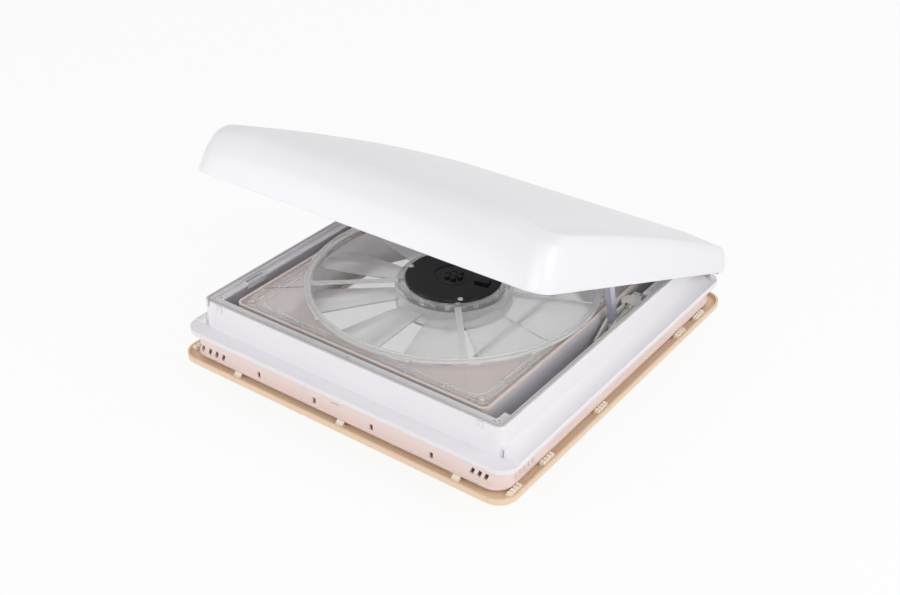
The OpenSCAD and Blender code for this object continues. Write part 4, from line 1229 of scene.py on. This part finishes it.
    def build_braces(self) -> None:
        """Builds the carrier's inner rails and the stars of ribs between them."""
        high = Extent.of("fan_carrier").low.z
        low = high - self.rib_h
        gap, thick = self.rail_gap, self.rib_t
        for name, inset in zip(("carrier_outer_rail", "carrier_inner_rail"), self.rails):
            near = [self.past_duct(self.square_row(inset + thick, z), gap) for z in (low, high)]
            far = [self.past_duct(self.square_row(inset, z), gap + thick) for z in (low, high)]
            rows = [near[0], far[0], far[1], near[1]]
            place(closed_band(name, rows, Finish.GUARD), "base", "clear_plastic")
        stars = cloud(self.star_points((low + high) / 2))
        place(self.brace_recipe().bake("carrier_braces", stars, Finish.GUARD), "base", "clear_plastic")

    def corner_points(self) -> list[Point]:
        """Finds the places of the carrier's four screws.

        Returns:
            The middle of each head's underside.
        """
        old = Extent.of("carrier_screws")
        z = old.high.z - self.corner_h
        across = (old.low.x + self.corner_r, old.high.x - self.corner_r)
        along = (old.low.y + self.corner_r, old.high.y - self.corner_r)
        return [(x, y, z) for x in across for y in along]

    def cap_points(self) -> list[Point]:
        """Finds the places of the cap's three screws.

        Returns:
            The middle of each head's underside.
        """
        cap = Extent.of("motor_cap")
        turns = [math.radians(a) for a in self.cap_angles]
        r, mid = self.cap_bolt, cap.mid
        return [(mid.x + r * math.cos(a), mid.y + r * math.sin(a), cap.high.z) for a in turns]

    def dress(self, screws: Screws) -> None:
        """Builds the shroud and the braces and gives the fan its finishes and screws.

        Args:
            screws: the recipe for screws.
        """
        self.build_shroud()
        self.build_braces()
        wear("collar", Finish.COLLAR)
        wear("fan_carrier", Finish.CLEAR)
        wear("guard_ring", Finish.GUARD)
        wear("motor_mount", Finish.CUP)
        wear("impeller", Finish.BLADE)
        wear("motor_housing", Finish.MOTOR)
        wear("motor_cap motor_plug", Finish.CAP)
        wear("motor_shaft impeller_nut", Finish.ZINC)
        old = Extent.of("carrier_screws")
        screws.put(
            "corner_screws", self.corner_points(), "carrier_screws", Finish.PEG,
            Head_Radius=self.corner_r, Head_Height=self.corner_h, Shank_Length=old.size.z - self.corner_h,
        )
        screws.put(
            "cap_screws", self.cap_points(), "motor_screws", Finish.ZINC,
            Head_Radius=self.cap_r, Head_Height=self.cap_h, Shank_Length=Extent.of("motor_cap").size.z,
        )


@dataclass
class CeilingSide:
    """Ceiling frame, trim, clips and fly screen.

    One layer of wires lies above the other by twice the layer's share of a wire.
    """

    pitch: float = 2.0 * MM
    wire: float = 0.22 * MM
    layer: float = 0.45

    def screen_recipe(self) -> Recipe:
        """Builds the tree of the fly screen's crossing wires.

        Returns:
            The recipe, which makes its own points.
        """
        zero = {f"Middle {axis}": 0.0 for axis in "XYZ"}
        sizes = {"Half Width": 0.1, "Half Depth": 0.1, "Pitch": self.pitch, "Wire": self.wire, **zero}
        made = Recipe("FlyScreen", sizes)
        tree, ins = made.tree, made.ins
        whole = tree.add("GeometryNodeJoinGeometry")
        ways = (("Half Width", "Half Depth", 0, self.layer), ("Half Depth", "Half Width", 1, -self.layer))
        for along, across, axis, lift in ways:
            reach = tree.maths("MULTIPLY", ins[along], 2.0)
            gaps = tree.maths("FLOOR", tree.maths("DIVIDE", reach, ins["Pitch"]))
            edge, height = tree.maths("MULTIPLY", ins[along], -1.0), tree.maths("MULTIPLY", ins["Wire"], lift)
            start = tree.add("ShaderNodeCombineXYZ", {axis: edge, 2: height}).outputs[0]
            step = tree.add("ShaderNodeCombineXYZ", {axis: ins["Pitch"]}).outputs[0]
            row = {"Count": tree.maths("ADD", gaps, 1.0), "Start Location": start, "Offset": step}
            line = tree.add("GeometryNodeMeshLine", row, mode="OFFSET").outputs[0]
            size = tree.add("ShaderNodeCombineXYZ", {0: ins["Wire"], 1: ins["Wire"], 2: ins["Wire"]})
            tree.feed(size, 1 - axis, tree.maths("MULTIPLY", ins[across], 2.0))
            wire = tree.add("GeometryNodeMeshCube", {"Size": size.outputs[0]}).outputs[0]
            spread = tree.add("GeometryNodeInstanceOnPoints", {"Points": line, "Instance": wire})
            tree.tree.links.new(spread.outputs[0], whole.inputs[0])
        middle = tree.add("ShaderNodeCombineXYZ", {i: ins[f"Middle {axis}"] for i, axis in enumerate("XYZ")})
        there = {"Geometry": whole.outputs[0], "Translation": middle.outputs[0]}
        made.finish(tree.add("GeometryNodeTransform", there).outputs[0], Finish.MESH)
        return made

    def build_screen(self) -> None:
        """Stretches the fly screen over its frame."""
        old = Extent.of("fly_screen")
        mid = old.mid
        screen = self.screen_recipe().bake(
            "screen_wires", cloud([]), Finish.MESH, Half_Width=old.size.x / 2, Half_Depth=old.size.y / 2,
            Middle_X=mid.x, Middle_Y=mid.y, Middle_Z=mid.z,
        )
        place(screen, "base", "screen_mesh", "fly_screen")

    def dress(self) -> None:
        """Gives the ceiling side its finishes and its screen."""
        wear("ceiling_frame", Finish.PINK)
        wear("ceiling_trim", Finish.TAN)
        wear("trim_side_clips trim_front_clips", Finish.CLIP)
        wear("screen_frame", Finish.COLLAR)
        wear("clamp_screws", Finish.ZINC)
        wear("control_box switch_bezel mode_switch fuse_cap", Finish.DARK)
        wear("speed_knob", Finish.IVORY)
        self.build_screen()


@dataclass
class Studio:
    """Floor, lights and the camera at the photograph's angle.

    Each lamp has a name, a place, a diameter and a power in watts.
    """

    azimuth: float = 36.51
    elevation: float = 31.72
    roll: float = -0.25
    eye: Point = (0.7720, -1.0657, 0.8240)
    lens: float = 50.1
    sensor: float = 36.0
    clip: tuple[float, float] = (0.05, 60.0)
    aim: Point = (0, 0, 0.05)
    floor_half: float = 6.0
    floor_gap: float = 0.5 * MM
    floor_grey: float = 0.95
    floor_roughness: float = 0.9
    seen_white: float = 0.9
    sky: float = 0.57
    lamps: tuple[tuple[str, Point, float, float], ...] = (
        ("key", (2.0, 0.0, 1.1), 1.5, 14),
        ("front", (0.9, -1.4, 0.9), 1.2, 5.2),
        ("fill", (-0.9, -1.4, 0.55), 0.9, 5.2),
        ("back", (0.3, 2.2, 1.6), 1.8, 3),
    )

    def set_camera(self) -> None:
        """Puts the camera where the photograph was taken from."""
        az, el, roll = (math.radians(v) for v in (self.azimuth, self.elevation, self.roll))
        back = Vector((math.sin(az) * math.cos(el), -math.cos(az) * math.cos(el), math.sin(el)))
        right = Vector((math.cos(az), math.sin(az), 0))
        up = back.cross(right)
        across = right * math.cos(roll) + up * math.sin(roll)
        above = -right * math.sin(roll) + up * math.cos(roll)
        lens = bpy.data.cameras.new("camera")
        lens.lens, lens.sensor_width, lens.sensor_fit = self.lens, self.sensor, "HORIZONTAL"
        lens.clip_start, lens.clip_end = self.clip
        eye = bpy.data.objects.new("camera", lens)
        bpy.context.scene.collection.objects.link(eye)
        turn = Matrix((across, above, back)).transposed()
        eye.matrix_world = Matrix.Translation(self.eye) @ turn.to_4x4()
        bpy.context.scene.camera = eye

    def lamp(self, name: str, spot: Point, size: float, watts: float) -> None:
        """Adds a plain soft lamp that faces the vent.

        Args:
            name: the lamp's name.
            spot: where it hangs.
            size: its diameter.
            watts: its power.
        """
        light = bpy.data.lights.new(name, "AREA")
        light.shape, light.size, light.energy = "DISK", size, watts
        lamp = bpy.data.objects.new(name, light)
        bpy.context.scene.collection.objects.link(lamp)
        lamp.location = spot
        aim = Vector(self.aim) - Vector(spot)
        lamp.rotation_euler = aim.to_track_quat("-Z", "Y").to_euler()

    @staticmethod
    def any_ray(tree: Tree, *kinds: str) -> bpy.types.NodeSocket:
        """Adds nodes that pick out rays of the given kinds.

        Args:
            tree: the tree to add them to.
            kinds: names of the Light Path node's outputs.

        Returns:
            A socket that is 1 for such a ray, else 0.
        """
        path = tree.add("ShaderNodeLightPath")
        picked = path.outputs[kinds[0]]
        for kind in kinds[1:]:
            picked = tree.maths("MAXIMUM", picked, path.outputs[kind])
        return picked

    def build_floor(self) -> None:
        """Builds a plain white floor that keeps the vent's shadow and is clear from below."""
        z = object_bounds()[0].z - self.floor_gap
        mesh = bpy.data.meshes.new("floor")
        r = self.floor_half
        mesh.from_pydata([(-r, -r, z), (r, -r, z), (r, r, z), (-r, r, z)], [], [(0, 1, 2, 3)])
        floor = bpy.data.objects.new("floor", mesh)
        bpy.context.scene.collection.objects.link(floor)
        material, tree, surface = shader("Floor")
        tree.feed(surface, "Base Color", (self.floor_grey, self.floor_grey, self.floor_grey, 1))
        tree.feed(surface, "Roughness", self.floor_roughness)
        seen = self.any_ray(tree, "Is Camera Ray", "Is Glossy Ray")
        through = self.any_ray(tree, "Is Transmission Ray")
        share = tree.maths("MAXIMUM", tree.maths("MULTIPLY", seen, self.seen_white), through)
        white = tree.add("ShaderNodeEmission", {"Color": (1, 1, 1, 1), "Strength": 1.0})
        both = tree.add("ShaderNodeMixShader", {0: share, 1: surface.outputs[0], 2: white.outputs[0]})
        below = tree.add("ShaderNodeNewGeometry").outputs["Backfacing"]
        clear = tree.add("ShaderNodeBsdfTransparent").outputs[0]
        whole = tree.add("ShaderNodeMixShader", {0: below, 1: both.outputs[0], 2: clear})
        tree.feed(tree.tree.nodes["Material Output"], "Surface", whole.outputs[0])
        mesh.materials.append(material)
        floor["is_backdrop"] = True

    def build_world(self) -> None:
        """Sets a plain surround that lights softly and is seen white."""
        world = bpy.data.worlds.new("surround")
        world.use_nodes = True
        world.node_tree.nodes.clear()
        tree = Tree(world.node_tree)
        seen = self.any_ray(tree, "Is Camera Ray", "Is Glossy Ray", "Is Transmission Ray")
        strength = tree.maths("ADD", tree.maths("MULTIPLY", seen, 1.0 - self.sky), self.sky)
        back = tree.add("ShaderNodeBackground", {"Color": (1, 1, 1, 1), "Strength": strength})
        tree.add("ShaderNodeOutputWorld", {"Surface": back.outputs[0]})
        bpy.context.scene.world = world

    def build(self) -> None:
        """Builds the whole studio."""
        bpy.context.scene.view_settings.view_transform = "Standard"
        self.set_camera()
        self.build_floor()
        self.build_world()
        for lamp in self.lamps:
            self.lamp(*lamp)


def main() -> None:
    """Builds the studio and every sub-assembly in order."""
    logging.basicConfig(level=logging.INFO, format="%(name)s: %(message)s")
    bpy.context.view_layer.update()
    Studio().build()
    screws = Screws()
    OuterFrame().dress()
    RoofLid().dress()
    Lifter().dress(screws)
    Fan().dress(screws)
    CeilingSide().dress()


if __name__ == "__main__":
    main()
